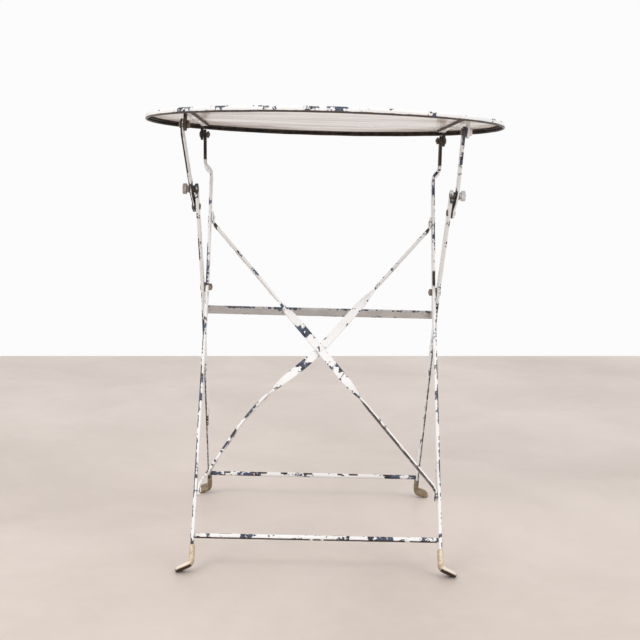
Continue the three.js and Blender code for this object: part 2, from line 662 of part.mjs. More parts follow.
SIDES.forEach(([word, side]) => {
  const link = new THREE.Group();
  link.position.set(0, KNEE_Y, KNEE_Z);
  link.rotation.x = LINK_ANGLE;
  table.add(link);

  const topX = LINK_TOP_X.get(word);
  const bar = flatBar([
    [LINK_KNEE_X, 0],
    [LINK_KNEE_X, 9],
    [LINK_LOCK_X - 0.6, LOCK_LENGTH - 8],
    [LINK_LOCK_X + 0.6, LOCK_LENGTH + 8],
    [topX, LINK_LENGTH - 13],
    [topX, LINK_LENGTH],
  ], BAR_WIDTH, LINK_THICKNESS, true, true);
  const strap = cut(bar, [0, LOCK_LENGTH, LINK_LENGTH].map((z) => roundBar(PIN_HOLE, 190, 240, 0, z)));
  add(link, `upper_link_${word}`, whitePaint, strap.scale([side, 1, 1]));

  const kneeSeat = LINK_KNEE_X + LINK_THICKNESS / 2 + GAP;
  const stud = domedBolt(PIN_RADIUS, OUTER_OUTSIDE + KNEE_SPREAD + 0.8, kneeSeat, 5.5, 1.8, 0, 0);
  add(link, `knee_stud_${word}`, darkBronze, stud.scale([side, 1, 1]));

  const screwHole = roundBar(SCREW_RADIUS + CLEARANCE, 190, 240, 0, LOCK_LENGTH);
  const bossFrom = OUTER_OUTSIDE + LOCK_SPREAD + 0.5;
  const boss = cut(roundBar(6, bossFrom, bossFrom + 2.8, 0, LOCK_LENGTH, 24), [screwHole]);
  add(link, `thumb_boss_${word}`, darkBronze, boss.scale([side, 1, 1]));
  const washer = cut(roundBar(7, lockSeat, washerEnd, 0, LOCK_LENGTH, 24), [screwHole]);
  add(link, `thumb_washer_${word}`, rustyRivet, washer.scale([side, 1, 1]));
  add(link, `thumb_screw_${word}`, knobMetal, thumbScrew().scale([side, 1, 1]));

  // The knee's inner half stays in the outer leg: a pin through it with a thin head inside.
  const pinTip = OUTER_OUTSIDE + KNEE_SPREAD + 0.3;
  const pinSeat = OUTER_INSIDE + KNEE_SPREAD - 1.5 * GAP;
  const inner = domedBolt(PIN_RADIUS, pinTip, pinSeat, 5.5, 1.8, 0, KNEE_LENGTH);
  add(outerFrame, `knee_pin_${word}`, darkBronze, inner.scale([side, 1, 1]));
});

export default table;
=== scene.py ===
from math import atan2, ceil, copysign, cos, degrees, exp, hypot, pi, radians, sin, tan
import bpy
from mathutils import Matrix, Vector, noise


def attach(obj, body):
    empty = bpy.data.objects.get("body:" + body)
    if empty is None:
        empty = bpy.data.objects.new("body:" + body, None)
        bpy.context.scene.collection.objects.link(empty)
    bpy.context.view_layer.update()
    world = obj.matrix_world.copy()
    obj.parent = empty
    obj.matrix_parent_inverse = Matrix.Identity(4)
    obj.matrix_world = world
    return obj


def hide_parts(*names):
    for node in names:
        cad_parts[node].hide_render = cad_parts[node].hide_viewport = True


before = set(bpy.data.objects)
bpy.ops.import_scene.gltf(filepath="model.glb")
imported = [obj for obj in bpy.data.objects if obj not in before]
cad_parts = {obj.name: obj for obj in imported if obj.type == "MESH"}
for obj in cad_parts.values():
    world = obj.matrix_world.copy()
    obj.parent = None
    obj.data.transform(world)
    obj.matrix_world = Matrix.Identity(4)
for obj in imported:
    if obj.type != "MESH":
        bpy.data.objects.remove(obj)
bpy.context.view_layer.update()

MM = 0.001
SIDES = (("left", -1), ("right", 1))
AXIS_X = Vector((1, 0, 0))
AXIS_Y = Vector((0, 1, 0))
AXIS_Z = Vector((0, 0, 1))

# ---- driving dimensions
TOP_RADIUS = 300 * MM
TOP_HEIGHT = 712 * MM
SHEET = 1.5 * MM
RIM_DEPTH = 10 * MM
RIM_CORNER = 4 * MM
RIM_BEAD = 2 * MM

PIVOT_HEIGHT = 425 * MM
EAR_REACH = 145 * MM
EAR_DROP = 22 * MM
KNEE_LENGTH = 157 * MM
LOCK_LENGTH = 32 * MM
FOOT_BEND_HEIGHT = 13.3 * MM

INNER_X = 194 * MM
OUTER_X = 202 * MM
BAR_WIDTH = 18 * MM
BAR_THICKNESS = 5 * MM
LINK_THICKNESS = 4.5 * MM

RAIL_INSIDE = 209.2 * MM
RAIL_OUTSIDE = 222.2 * MM
RAIL_THICKNESS = 4 * MM
RAIL_LENGTH = 312 * MM
EAR_WIDTH = 20 * MM

# Above the pivot both frames spread outwards by this much for each unit of length.
SPLAY = 0.0205
JOGGLE_X = 211 * MM
HINGE_X = 214.5 * MM
JOGGLE_START = 220 * MM
JOGGLE_LENGTH = 22 * MM

BRACE_WIDTH = 14 * MM
BRACE_THICKNESS = 3.5 * MM
BRACE_TOP = 133 * MM
BRACE_BOTTOM = -353 * MM
BRACE_TAB = 18 * MM

ROD_RADIUS = 4 * MM
INNER_ROD_DROP = 426 * MM
OUTER_ROD_DROP = 434 * MM
MID_BAR_DROP = 55 * MM
MID_BAR_HEIGHT = 15.5 * MM
MID_BAR_THICKNESS = 4 * MM

SHOE_WIDTH = 21 * MM
SHOE_THICKNESS = 8.6 * MM
SHOE_UPRIGHT = 28 * MM
SHOE_SOCKET = 19 * MM
SHOE_BEND = radians(65)
SHOE_BEND_RADIUS = 8 * MM

GAP = 0.3 * MM
LEG_CORNER = 1.1 * MM
RAIL_CORNER = 0.9 * MM
STRIP_CORNER = 0.8 * MM
RIVET_RADIUS = 2.5 * MM
RAIL_RIVET_INSET = 30 * MM
# Turned bodies end in a tiny ring of this radius, so that their caps stay flat and closed.
RING_TIP = 0.02 * MM
EAR_HEIGHT = TOP_HEIGHT - EAR_DROP
LEG_ANGLE = atan2(EAR_REACH, EAR_HEIGHT - PIVOT_HEIGHT)
LEG_TOP = hypot(EAR_REACH, EAR_HEIGHT - PIVOT_HEIGHT)
FOOT_BEND = (PIVOT_HEIGHT - FOOT_BEND_HEIGHT) / cos(LEG_ANGLE)
LEG_BOTTOM = -(FOOT_BEND - SHOE_UPRIGHT + SHOE_SOCKET)
KNEE = Vector((0, -KNEE_LENGTH * sin(LEG_ANGLE), PIVOT_HEIGHT + KNEE_LENGTH * cos(LEG_ANGLE)))
LINK_LENGTH = hypot(EAR_REACH + KNEE.y, EAR_HEIGHT - KNEE.z)
LINK_ANGLE = atan2(EAR_REACH + KNEE.y, EAR_HEIGHT - KNEE.z)

# Places: each maps local coordinates, with z up a leg or a link, into the table's frame.
TOP_PLACE = Matrix.Translation((0, 0, TOP_HEIGHT))
INNER_PLACE = Matrix.Translation((0, 0, PIVOT_HEIGHT)) @ Matrix.Rotation(-LEG_ANGLE, 4, "X")
OUTER_PLACE = Matrix.Translation((0, 0, PIVOT_HEIGHT)) @ Matrix.Rotation(LEG_ANGLE, 4, "X")
LINK_PLACE = Matrix.Translation(KNEE) @ Matrix.Rotation(LINK_ANGLE, 4, "X")

# The inner and outer faces of the two pairs of legs, and how far they have spread at the knee
# and at the thumb-screw.
INNER_IN = INNER_X - BAR_THICKNESS / 2
INNER_OUT = INNER_X + BAR_THICKNESS / 2
OUTER_IN = OUTER_X - BAR_THICKNESS / 2
OUTER_OUT = OUTER_X + BAR_THICKNESS / 2
KNEE_SPREAD = SPLAY * KNEE_LENGTH
LOCK_SPREAD = SPLAY * (KNEE_LENGTH + LOCK_LENGTH)


def add(name, data):
    """A new object in the scene."""
    obj = bpy.data.objects.new(name, data)
    bpy.context.collection.objects.link(obj)
    return obj


# ---- camera
def make_camera():
    """Stands in front of the table, a little below the top, and looks slightly down."""
    pitch = radians(6.552)
    roll = radians(-1.536)
    yaw = radians(1.178)
    place = (-0.0382, -1.8703, 0.5873)
    ahead = Vector((sin(yaw) * cos(pitch), cos(yaw) * cos(pitch), -sin(pitch)))
    level = Vector((cos(yaw), -sin(yaw), 0))
    down = ahead.cross(level)
    right = level * cos(roll) + down * sin(roll)
    up = level * sin(roll) - down * cos(roll)
    data = bpy.data.cameras.new("camera")
    data.sensor_width = 36
    data.lens = 61.47
    camera = add("camera", data)
    turn = Matrix((right, up, -ahead)).transposed().to_4x4()
    camera.matrix_world = Matrix.Translation(place) @ turn
    bpy.context.scene.camera = camera


make_camera()
bpy.context.scene.view_settings.view_transform = "Standard"


# ---- materials
class Nodes:
    """A short way to write a node tree."""

    def __init__(self, name):
        self.material = bpy.data.materials.new(name)
        self.material.use_nodes = True
        self.tree = self.material.node_tree
        self.shader = self.tree.nodes["Principled BSDF"]
        self.place = self.new("TexCoord", {}).outputs["Object"]

    def link(self, source, socket):
        """Links an output, or sets a plain number or colour on the socket itself."""
        if hasattr(source, "links"):
            self.tree.links.new(source, socket)
        else:
            socket.default_value = source

    def new(self, kind, inputs, **settings):
        node = self.tree.nodes.new("ShaderNode" + kind)
        for name, value in settings.items():
            setattr(node, name, value)
        for name, value in inputs.items():
            self.link(value, node.inputs[name])
        return node

    def noise(self, scale, detail, roughness=0.55, distortion=0.0, stretch=None):
        inputs = {"Vector": self.place, "Scale": scale, "Detail": detail, "Roughness": roughness,
                  "Distortion": distortion}
        if stretch:
            stretched = self.new("Mapping", {"Vector": self.place, "Scale": stretch})
            inputs["Vector"] = stretched.outputs["Vector"]
        return self.new("TexNoise", inputs).outputs["Fac"]

    def math(self, operation, a, b, c=0.0):
        return self.new("Math", {0: a, 1: b, 2: c}, operation=operation).outputs[0]

    def ramp(self, value, low, high, to_low=0.0, to_high=1.0):
        limits = {"Value": value, "From Min": low, "From Max": high, "To Min": to_low, "To Max": to_high}
        return self.new("MapRange", limits).outputs["Result"]

    def mix(self, factor, a, b):
        return self.new("Mix", {0: factor, 6: a, 7: b}, data_type="RGBA").outputs[2]

    def attribute(self, name):
        return self.new("Attribute", {}, attribute_name=name).outputs["Fac"]

    def bump(self, height, distance, strength, below=None):
        inputs = {"Height": height, "Distance": distance, "Strength": strength}
        if below is not None:
            inputs["Normal"] = below
        return self.new("Bump", inputs).outputs["Normal"]

    def finish(self, colour, roughness, normal, metallic=0.0, coat=0.0):
        surface = {"Base Color": colour, "Roughness": roughness, "Normal": normal,
                   "Metallic": metallic, "Coat Weight": coat}
        for name, value in surface.items():
            self.link(value, self.shader.inputs[name])
        return self.material


CHIP_RAMP = 0.010
WHITE = (0.87, 0.872, 0.88, 1)
CREAM = (0.79, 0.77, 0.745, 1)
GREY = (0.50, 0.49, 0.48, 1)
SLATE = (0.050, 0.072, 0.125, 1)
BLACK = (0.012, 0.012, 0.014, 1)
RUST = (0.115, 0.050, 0.022, 1)
BROWN = (0.060, 0.034, 0.020, 1)
# Grime, and also painted shade on the shoes.
GRIME_AND_SHADE = (0.045, 0.028, 0.018, 1)
SHEEN = (0.78, 0.73, 0.67, 1)
# Underside colours: the white paint in painted shade, and brown painted reflection.
UNDER_PALE = (0.93, 0.91, 0.89, 1)
UNDER_REFLECTION_BROWN = (0.50, 0.39, 0.33, 1)
# Near-black and brown, for bare metal and also for painted shade.
BARE_AND_SHADE_BLACK = (0.022, 0.019, 0.018, 1)
BARE_AND_SHADE_BROWN = (0.075, 0.052, 0.038, 1)


def chipped_paint(name, white, stain, chip_level, edge_pull, gloss, coat):
    """Old brushed paint over a slate undercoat, with chips that gather along the edges.

    The mesh attributes edge, wear and rust say where it is rubbed, chipped and rusty; dark says
    where it is rubbed through to blackened metal and where shade is painted on, nearly black; and
    under marks the underside of the sheet, painted pale with brown streaks of painted shade and
    painted reflection.
    """
    n = Nodes(name)
    rust = n.attribute("rust")
    patches = n.noise(38, 3, 0.5)
    flakes = n.noise(150, 7, 0.62, 0.5)
    specks = n.noise(620, 3, 0.5)
    pull = n.ramp(patches, 0.38, 0.66, 0.12 * edge_pull, edge_pull)
    pull = n.math("MULTIPLY", n.attribute("edge"), pull)
    level = n.math("ADD", n.math("MULTIPLY_ADD", patches, 0.45, n.math("MULTIPLY", flakes, 0.55)), pull)
    level = n.math("MULTIPLY_ADD", n.math("SUBTRACT", specks, 0.5), 0.05, level)
    level = n.math("MULTIPLY_ADD", rust, 0.30, level)
    level = n.math("MULTIPLY_ADD", n.attribute("wear"), 0.15, level)
    chip = n.ramp(level, chip_level, chip_level + CHIP_RAMP)
    halo = n.ramp(level, chip_level - 0.035, chip_level)

    tone = n.noise(9, 5, 0.6)
    brush = n.noise(26, 4, 0.6, 0.0, (1.0, 7.0, 1.0))
    paint = n.mix(n.ramp(tone, 0.38, 0.72), white, stain)
    paint = n.mix(n.math("MULTIPLY", n.ramp(brush, 0.45, 0.8), 0.28), paint, CREAM)
    paint = n.mix(n.math("MULTIPLY", n.ramp(n.noise(310, 4, 0.6), 0.62, 0.75), 0.30), paint, GREY)
    paint = n.mix(n.math("MULTIPLY", halo, 0.35), paint, CREAM)

    # The underside of the sheet: pale paint in painted shade, with brown streaks of painted reflection.
    streak = n.noise(9, 5, 0.6, 0.0, (0.35, 3.0, 1.0))
    underside_reflections = n.mix(n.ramp(streak, 0.44, 0.60), UNDER_PALE, UNDER_REFLECTION_BROWN)
    paint = n.mix(n.attribute("under"), paint, underside_reflections)

    undercoat = n.mix(n.ramp(n.noise(95, 4, 0.6), 0.50, 0.60), SLATE, BLACK)
    undercoat = n.mix(n.ramp(n.noise(70, 5, 0.65), 0.58, 0.66), undercoat, RUST)
    rusted = n.math("MULTIPLY", rust, n.ramp(n.noise(120, 4, 0.6), 0.32, 0.52))
    undercoat = n.mix(rusted, undercoat, BROWN)
    colour = n.mix(chip, paint, undercoat)
    # The dark mark turns the paint near-black and brown: bare metal in places, painted shade inside the
    # rim, on the rails, under the table and behind the thumb-screws, and painted reflections on the
    # middle bar.
    bare_and_shade = n.mix(n.ramp(n.noise(55, 5, 0.6), 0.40, 0.62), BARE_AND_SHADE_BLACK, BARE_AND_SHADE_BROWN)
    scuffed_and_shaded = n.ramp(n.math("MULTIPLY_ADD", flakes, 0.6, n.attribute("dark")), 0.55, 0.75)
    colour = n.mix(scuffed_and_shaded, colour, bare_and_shade)

    rough = n.math("MULTIPLY_ADD", tone, 0.22, gloss)
    rough = n.math("MULTIPLY_ADD", chip, 0.22, rough)
    rough = n.math("MULTIPLY_ADD", scuffed_and_shaded, 0.45, rough)
    fine = n.bump(n.noise(420, 3, 0.5), 0.00004, 0.6)
    film = n.bump(level, 0.0006, 0.25, fine)
    step = n.bump(n.math("SUBTRACT", 1.0, chip), 0.00016, 1.0, film)
    return n.finish(colour, rough, step, 0.0, coat)


def aged_metal(name, base, second, third, rough, metallic):
    """Bare or oxidised metal with mottled colour, pits and shallow dents.

    The mesh attribute pale says where a painted highlight lightens it, and dark where it is grimy
    and where shade is painted on.
    """
    n = Nodes(name)
    blotch = n.noise(130, 5, 0.6, 0.3)
    spots = n.noise(420, 5, 0.6)
    colour = n.mix(n.ramp(blotch, 0.36, 0.62), base, second)
    colour = n.mix(n.ramp(spots, 0.56, 0.66), colour, third)
    # pale is a painted highlight, mottled.
    painted_light = n.math("MULTIPLY", n.attribute("pale"), n.ramp(blotch, 0.62, 0.50))
    colour = n.mix(painted_light, colour, SHEEN)
    # dark is grime and painted shade.
    grime_and_shade = n.ramp(n.math("MULTIPLY_ADD", spots, 0.5, n.attribute("dark")), 0.60, 0.85)
    colour = n.mix(grime_and_shade, colour, GRIME_AND_SHADE)
    roughness = n.math("MULTIPLY_ADD", blotch, 0.30, rough)
    pits = n.bump(spots, 0.00012, 0.7)
    dents = n.bump(blotch, 0.0003, 0.35, pits)
    shine = n.math("MULTIPLY", n.ramp(spots, 0.66, 0.56), metallic)
    return n.finish(colour, roughness, dents, shine)


# Paints: name, white, stain, chip level, pull of the edges, gloss and coat.
PAINT = chipped_paint("bar_paint", WHITE, (0.79, 0.78, 0.765, 1), 0.632, 0.115, 0.30, 0.10)
TOP_PAINT = chipped_paint("sheet_paint", WHITE, (0.74, 0.72, 0.69, 1), 0.646, 0.125, 0.20, 0.20)
# The middle bar's paint is a grey copy of the white paint, darker for painted shade on its lower face.
SHADED_BAR_PAINT = chipped_paint("worn_bar_paint", (0.56, 0.55, 0.54, 1), (0.36, 0.34, 0.33, 1),
                     0.64, 0.12, 0.10, 0.4)

# Metals: name, base colour, blotches, spots, roughness and how metallic.
BRASS = aged_metal("brass_feet", (0.50, 0.33, 0.15, 1), (0.74, 0.64, 0.48, 1),
                   (0.11, 0.06, 0.03, 1), 0.30, 0.45)
FAR_FEET = aged_metal("far_feet", (0.20, 0.14, 0.075, 1), (0.34, 0.27, 0.17, 1), BROWN, 0.38, 0.4)
BRONZE = aged_metal("dark_bronze", (0.10, 0.078, 0.058, 1), (0.20, 0.17, 0.14, 1), BROWN, 0.34, 0.7)
RUSTY = aged_metal("rusty_steel", (0.17, 0.125, 0.09, 1), (0.34, 0.30, 0.26, 1), RUST, 0.42, 0.35)
PALE_KNOB = aged_metal("pale_knob_steel", (0.62, 0.62, 0.62, 1), (0.78, 0.78, 0.78, 1),
                       (0.36, 0.35, 0.34, 1), 0.26, 0.5)
KNOB = aged_metal("knob_steel", (0.27, 0.235, 0.20, 1), (0.42, 0.39, 0.355, 1),
                  (0.13, 0.10, 0.08, 1), 0.26, 0.75)

# Finishes: a material and the name of its slot.
PAINTED = (PAINT, "white_paint")
RIVET = (PAINT, "rusty_steel")
WASHER = (RUSTY, "rusty_steel")
RUSTED = (RUSTY, "dark_bronze")
OILED = (BRONZE, "dark_bronze")


# ---- mesh helpers
def to_table(place, side, point):
    """A local point on the right side, mirrored for the left side, in the table's frame."""
    return place @ Vector((side * point[0], point[1], point[2]))


def piece(name, verts, faces, body, node, finish, marks=None, sharp=38):
    """A mesh object that stands for a CAD node and rides on its body."""
    material, slot = finish
    mesh = bpy.data.meshes.new(name)
    mesh.from_pydata(verts, [], faces)
    mesh.validate()
    for mark, values in (marks or {}).items():
        attribute = mesh.attributes.new(mark, "FLOAT", "POINT")
        attribute.data.foreach_set("value", values)
    obj = add(name, mesh)
    face_out(mesh)
    mesh.polygons.foreach_set("use_smooth", [True] * len(mesh.polygons))
    mesh.set_sharp_from_angle(angle=radians(sharp))
    mesh.materials.append(material)
    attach(obj, body)
    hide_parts(node)


def face_out(mesh):
    """Turns the faces of a closed mesh so that they point out."""
    total = 0.0
    for polygon in mesh.polygons:
        corners = [mesh.vertices[i].co for i in polygon.vertices]
        for a, b in zip(corners[1:], corners[2:]):
            total += corners[0].dot(a.cross(b))
    if total < 0:
        mesh.flip_normals()


def loft_faces(ring_count, count):
    """Quads between rings of count points, closed by a cap at each end."""
    faces = []
    for r in range(ring_count - 1):
        for k in range(count):
            a = r * count + k
            b = r * count + (k + 1) % count
            faces.append((a, b, b + count, a + count))
    faces.append(tuple(reversed(range(count))))
    faces.append(tuple(range((ring_count - 1) * count, ring_count * count)))
    return faces


def turns(count):
    """The angles of count points round a full turn."""
    return [2 * pi * k / count for k in range(count)]


def smooth(part):
    """Eases from 0 to 1, and stays there beyond both ends."""
    part = max(0.0, min(1.0, part))
    return part * part * (3 - 2 * part)


def rough_hand(point, size, seed):
    """A small seeded unevenness, as of hammered and brushed steel."""
    return size * noise.noise(Vector(point) * 55 + Vector((seed, 2 * seed, 0)))


def bar_section(s, corner):
    """Points (across, through, edge) round a station's section, with rounded corners."""
    corner = min(corner, s["width"] * 0.45, s["thickness"] * 0.45)
    half_w = s["width"] / 2 - corner
    half_t = s["thickness"] / 2 - corner
    points = []
    starts = ((half_w, half_t, 0), (-half_w, half_t, 90),
              (-half_w, -half_t, 180), (half_w, -half_t, 270))
    for index, (x, y, start) in enumerate(starts):
        for step in range(4):
            turn = radians(start + step * 30)
            points.append((x + corner * cos(turn), y + corner * sin(turn), 1.0))
        following = starts[(index + 1) % 4]
        flat = 5 if index % 2 == 0 else 2
        turn = radians(start + 90)
        ax, ay = x + corner * cos(turn), y + corner * sin(turn)
        bx, by = following[0] + corner * cos(turn), following[1] + corner * sin(turn)
        for step in range(1, flat):
            part = step / flat
            near_edge = max(0.0, abs(2 * part - 1) - 0.35) if index % 2 == 0 else 0.75
            points.append((ax + (bx - ax) * part, ay + (by - ay) * part, near_edge))
    return points


def station(at, across, through, width, thickness):
    """A place on a bar: its centre, the directions of its width and thickness, and its size."""
    size = {"width": width, "thickness": thickness}
    return {"at": Vector(at), "across": across, "through": through, **size}


def along(stations, spacing):
    """Extra stations, so that none lie further apart than spacing."""
    result = [stations[0]]
    for a, b in zip(stations, stations[1:]):
        gap = (b["at"] - a["at"]).length
        parts = max(1, ceil(gap / spacing))
        for k in range(1, parts + 1):
            f = k / parts
            result.append({key: a[key] + (b[key] - a[key]) * f for key in a})
    return result


def bar_mesh(stations, corner, seed, place, side):
    """Vertices, faces and edge marks of a flat bar through its stations."""
    uneven = 0.12 * MM
    verts, edges = [], []
    for index, s in enumerate(stations):
        across = s["across"].normalized()
        through = s["through"].normalized()
        at_end = index in (0, len(stations) - 1)
        for w, t, edge in bar_section(s, corner):
            local = s["at"] + across * w + through * t
            push = rough_hand(local * side, uneven, seed)
            local = local + (across * w + through * t).normalized() * push
            verts.append(to_table(place, side, local))
            edges.append(1.0 if at_end else edge)
    return verts, loft_faces(len(stations), len(verts) // len(stations)), edges


def bar_marks(stations, corner, side, rule):
    """One mark for each vertex of a bar, from 0 to 1.

    A rule gives it from the side, the station's place, and w and t, the vertex's places from
    -1 to 1 across and through the section. For a brace the side is 1 or -1 as its slope is.
    """
    marks = []
    for s in stations:
        for w, t, _ in bar_section(s, corner):
            mark = rule(side, s["at"], 2 * w / s["width"], 2 * t / s["thickness"])
            marks.append(max(0.0, min(1.0, mark)))
    return marks


def bump_at(value, middle, reach):
    """1 at the middle, falling smoothly to 0 at a distance of reach."""
    return smooth(1 - abs(value - middle) / reach)


def round_end(start, width, direction):
    """Stations that narrow a bar to a half-round end beyond the given one."""
    result = []
    for angle in (10, 20, 30, 40, 50, 60, 68, 75, 81, 85.5):
        turn = radians(angle)
        at = start["at"] + direction * (width / 2) * sin(turn)
        result.append(dict(start, at=at, width=width * cos(turn)))
    return result


def flat_bar(line, thickness, round_start):
    """Stations of a flat bar that runs along z through (x, z) points, its width along y.

    Its far end is rounded, and its start too when round_start is set.
    """
    corners = []
    for i, (x, z) in enumerate(line):
        a = line[max(i - 1, 0)]
        b = line[min(i + 1, len(line) - 1)]
        direction = Vector((b[0] - a[0], 0, b[1] - a[1])).normalized()
        corners.append(station((x, 0, z), AXIS_Y, direction.cross(AXIS_Y), BAR_WIDTH, thickness))
    first, last = corners[0], corners[-1]
    stations = along(corners, 4 * MM)
    if round_start:
        direction = (stations[0]["at"] - stations[1]["at"]).normalized()
        stations = list(reversed(round_end(first, BAR_WIDTH, direction))) + stations
    direction = (last["at"] - stations[-2]["at"]).normalized()
    return stations + round_end(last, BAR_WIDTH, direction)


def spin(profile, count, point):
    """Vertices and faces of a turned body. point(along, radius, turn) gives each vertex."""
    verts = [point(x, r, turn) for x, r in profile for turn in turns(count)]
    return verts, loft_faces(len(profile), count)


def turned(profile, axis, segments=40, lobes=None):
    """A body turned about an axis along X, through (x, radius) points.

    An axis is (y, z, place, side, body). lobes may change the radius with the angle, as for a
    hexagon or a knurl.
    """
    y, z, place, side, _ = axis

    def point(x, radius, turn):
        r = max(radius, RING_TIP)
        r = lobes(turn, r) if lobes else r
        return to_table(place, side, (x, y + r * cos(turn), z + r * sin(turn)))

    return spin(profile, segments, point)


def dome(seat, radius, height):
    """Profile points over a domed head, up from its seat or down where the height is negative."""
    angles = [k * pi / 16 for k in range(1, 9)]
    return [(seat + height * sin(a), radius * cos(a)) for a in angles]


def join(*parts):
    """One vertex and face list from several."""
    verts, faces = [], []
    for part_verts, part_faces in parts:
        shift = len(verts)
        verts.extend(part_verts)
        faces.extend(tuple(i + shift for i in face) for face in part_faces)
    return verts, faces


def arc(cx, cy, radius, start, end, steps):
    """Points along an arc, from one angle in degrees to another."""
    angles = [radians(start + (end - start) * k / steps) for k in range(steps + 1)]
    return [(cx + radius * cos(a), cy + radius * sin(a)) for a in angles]


# ---- the top
SHEET_SAG = 1.1 * MM
SHEET_DENT = 3 * MM
# Where paint has chipped off the rim: the middle and the reach of each place, in degrees.
RIM_CHIPS = ((-87, 5), (-121, 5), (-135, 6), (-104, 3), (-28, 7),
             (-60, 3), (35, 5), (110, 7), (170, 5), (-165, 4))


def sheet_sag(x, y):
    """The gentle unevenness of a thin old sheet, always downwards and still at the rim."""
    reach = min(1.0, hypot(x, y) / TOP_RADIUS)
    wave = noise.noise(Vector((x * 6.5 + 3.1, y * 9.0, 0.7)))
    wave += 0.5 * noise.noise(Vector((x * 17, y * 17, 2.0)))
    dent = SHEET_DENT * exp(-((x - 0.03) / 0.09) ** 2 - ((y - 0.22) / 0.05) ** 2)
    return -(SHEET_SAG * (0.5 + 0.5 * wave) + dent) * (1 - reach ** 6)


def make_top():
    """The sheet: a thin disc with its edge turned down and rolled into a bead."""
    corner = TOP_RADIUS - RIM_CORNER
    bead_x = TOP_RADIUS - RIM_BEAD
    bead_z = RIM_BEAD - RIM_DEPTH
    rings = [k * corner / 26 for k in range(1, 26)]
    under = [(r, -SHEET, "flat") for r in rings]
    under += [(x, z, "inside") for x, z in arc(corner, -RIM_CORNER, RIM_CORNER - SHEET, 90, 0, 6)]
    bead = [(x, z, "bead") for x, z in arc(bead_x, bead_z, RIM_BEAD, 115, 370, 16)]
    outer = [(x, z, "outside") for x, z in arc(corner, -RIM_CORNER, RIM_CORNER, 0, 90, 9)]
    bead_end = bead[-1][1]
    skirt = [(TOP_RADIUS, bead_end + (outer[0][1] - bead_end) * k / 3, "outside") for k in (1, 2)]
    upper = [(r, 0.0, "flat") for r in reversed(rings)]
    profile = under + bead + skirt + outer + upper
    worn_from = -3.2 * MM
    rim_from = 286 * MM
    segments = 240
    verts = []
    marks = {"edge": [], "rust": [], "dark": [], "wear": [], "under": []}
    for index, (r, z, zone) in enumerate(profile):
        # Rings below the sheet get the under mark, for the underside's painted shade and reflections.
        below = index < len(under)
        edge = 0.0 if zone == "flat" else 0.35
        if zone in ("bead", "outside") and z > worn_from:
            edge = 0.9
        rusty = zone == "bead" and z - bead_z < 0.2 * RIM_BEAD and r > bead_x - RIM_BEAD
        # The inside of the rim and the inner side of the bead get the dark mark: painted shade.
        inner = zone == "inside" or (zone == "bead" and r < bead_x - 0.3 * RIM_BEAD)
        rim = zone == "outside" or (not below and r > rim_from)
        for turn in turns(segments):
            x, y = r * cos(turn), r * sin(turn)
            wobble = noise.noise(Vector((cos(turn) * 7, sin(turn) * 7, 1.3)))
            dz = sheet_sag(x, y) if zone == "flat" else 0.0
            dr = 0.0
            if zone == "bead":
                dz += (0.25 + 0.25 * wobble) * MM * 1.6
                dr -= (0.25 + 0.25 * noise.noise(Vector((x * 30, y * 30, 4)))) * MM
            scale = (r + dr) / r
            verts.append(TOP_PLACE @ Vector((x * scale, y * scale, z + dz)))
            angle = degrees(atan2(y, x))
            chip = 0.75 * max(bump_at(angle, middle, reach) for middle, reach in RIM_CHIPS)
            marks["edge"].append(edge)
            marks["rust"].append(float(rusty))
            marks["dark"].append(float(inner))
            marks["wear"].append(chip if rim else 0.0)
            marks["under"].append(float(below))
    faces = loft_faces(len(profile), segments)
    piece("sheet_steel_top", verts, faces, "table_top", "top_sheet", (TOP_PAINT, "top_paint"), marks, 50)


def make_rail(word, side):
    """A flat strip under the sheet, with an ear turned down over a bend at each end."""
    middle_z = -SHEET - GAP - RAIL_THICKNESS / 2
    strip = []
    for end in (-1, 1):
        at = ((RAIL_INSIDE + RAIL_OUTSIDE) / 2, end * RAIL_LENGTH / 2, middle_z)
        strip.append(station(at, AXIS_X, AXIS_Z, RAIL_OUTSIDE - RAIL_INSIDE, RAIL_THICKNESS))
    strip = along(strip, 4 * MM)
    verts, faces, edges = bar_mesh(strip, RAIL_CORNER, 11 + side, TOP_PLACE, side)
    # The rail's side edges, under the sheet, get the dark mark: painted shade.
    dark = bar_marks(strip, RAIL_CORNER, side, lambda side, at, w, t: 0.75 if abs(w) > 0.8 else 0.0)
    parts = [(verts, faces)]
    bend = 3.2 * MM
    x = RAIL_OUTSIDE - RAIL_THICKNESS / 2
    for y in (-EAR_REACH, EAR_REACH):
        ear = []
        for angle in range(0, 91, 15):
            turn = radians(angle)
            z = middle_z - bend * (1 - cos(turn))
            at = (x - bend * (1 - sin(turn)), y, z)
            through = Vector((sin(turn), 0, cos(turn)))
            ear.append(station(at, AXIS_Y, through, EAR_WIDTH, RAIL_THICKNESS))
        ear.append(dict(ear[-1], at=Vector((x, y, -EAR_DROP))))
        ear = along(ear, 3 * MM)
        ear += round_end(ear[-1], EAR_WIDTH, -AXIS_Z)
        ear_verts, ear_faces, ear_edges = bar_mesh(ear, RAIL_CORNER, 17 + side, TOP_PLACE, side)
        parts.append((ear_verts, ear_faces))
        # The right near ear keeps its paint; the others are darkened, partly as bare metal and partly as
        # painted shade.
        dark += [0.0 if side > 0 and y < 0 else 0.55] * len(ear_verts)
        edges += ear_edges
    verts, faces = join(*parts)
    piece(f"rail_strip_{word}", verts, faces, "table_top", f"rail_{word}", PAINTED,
          {"edge": edges, "dark": dark})


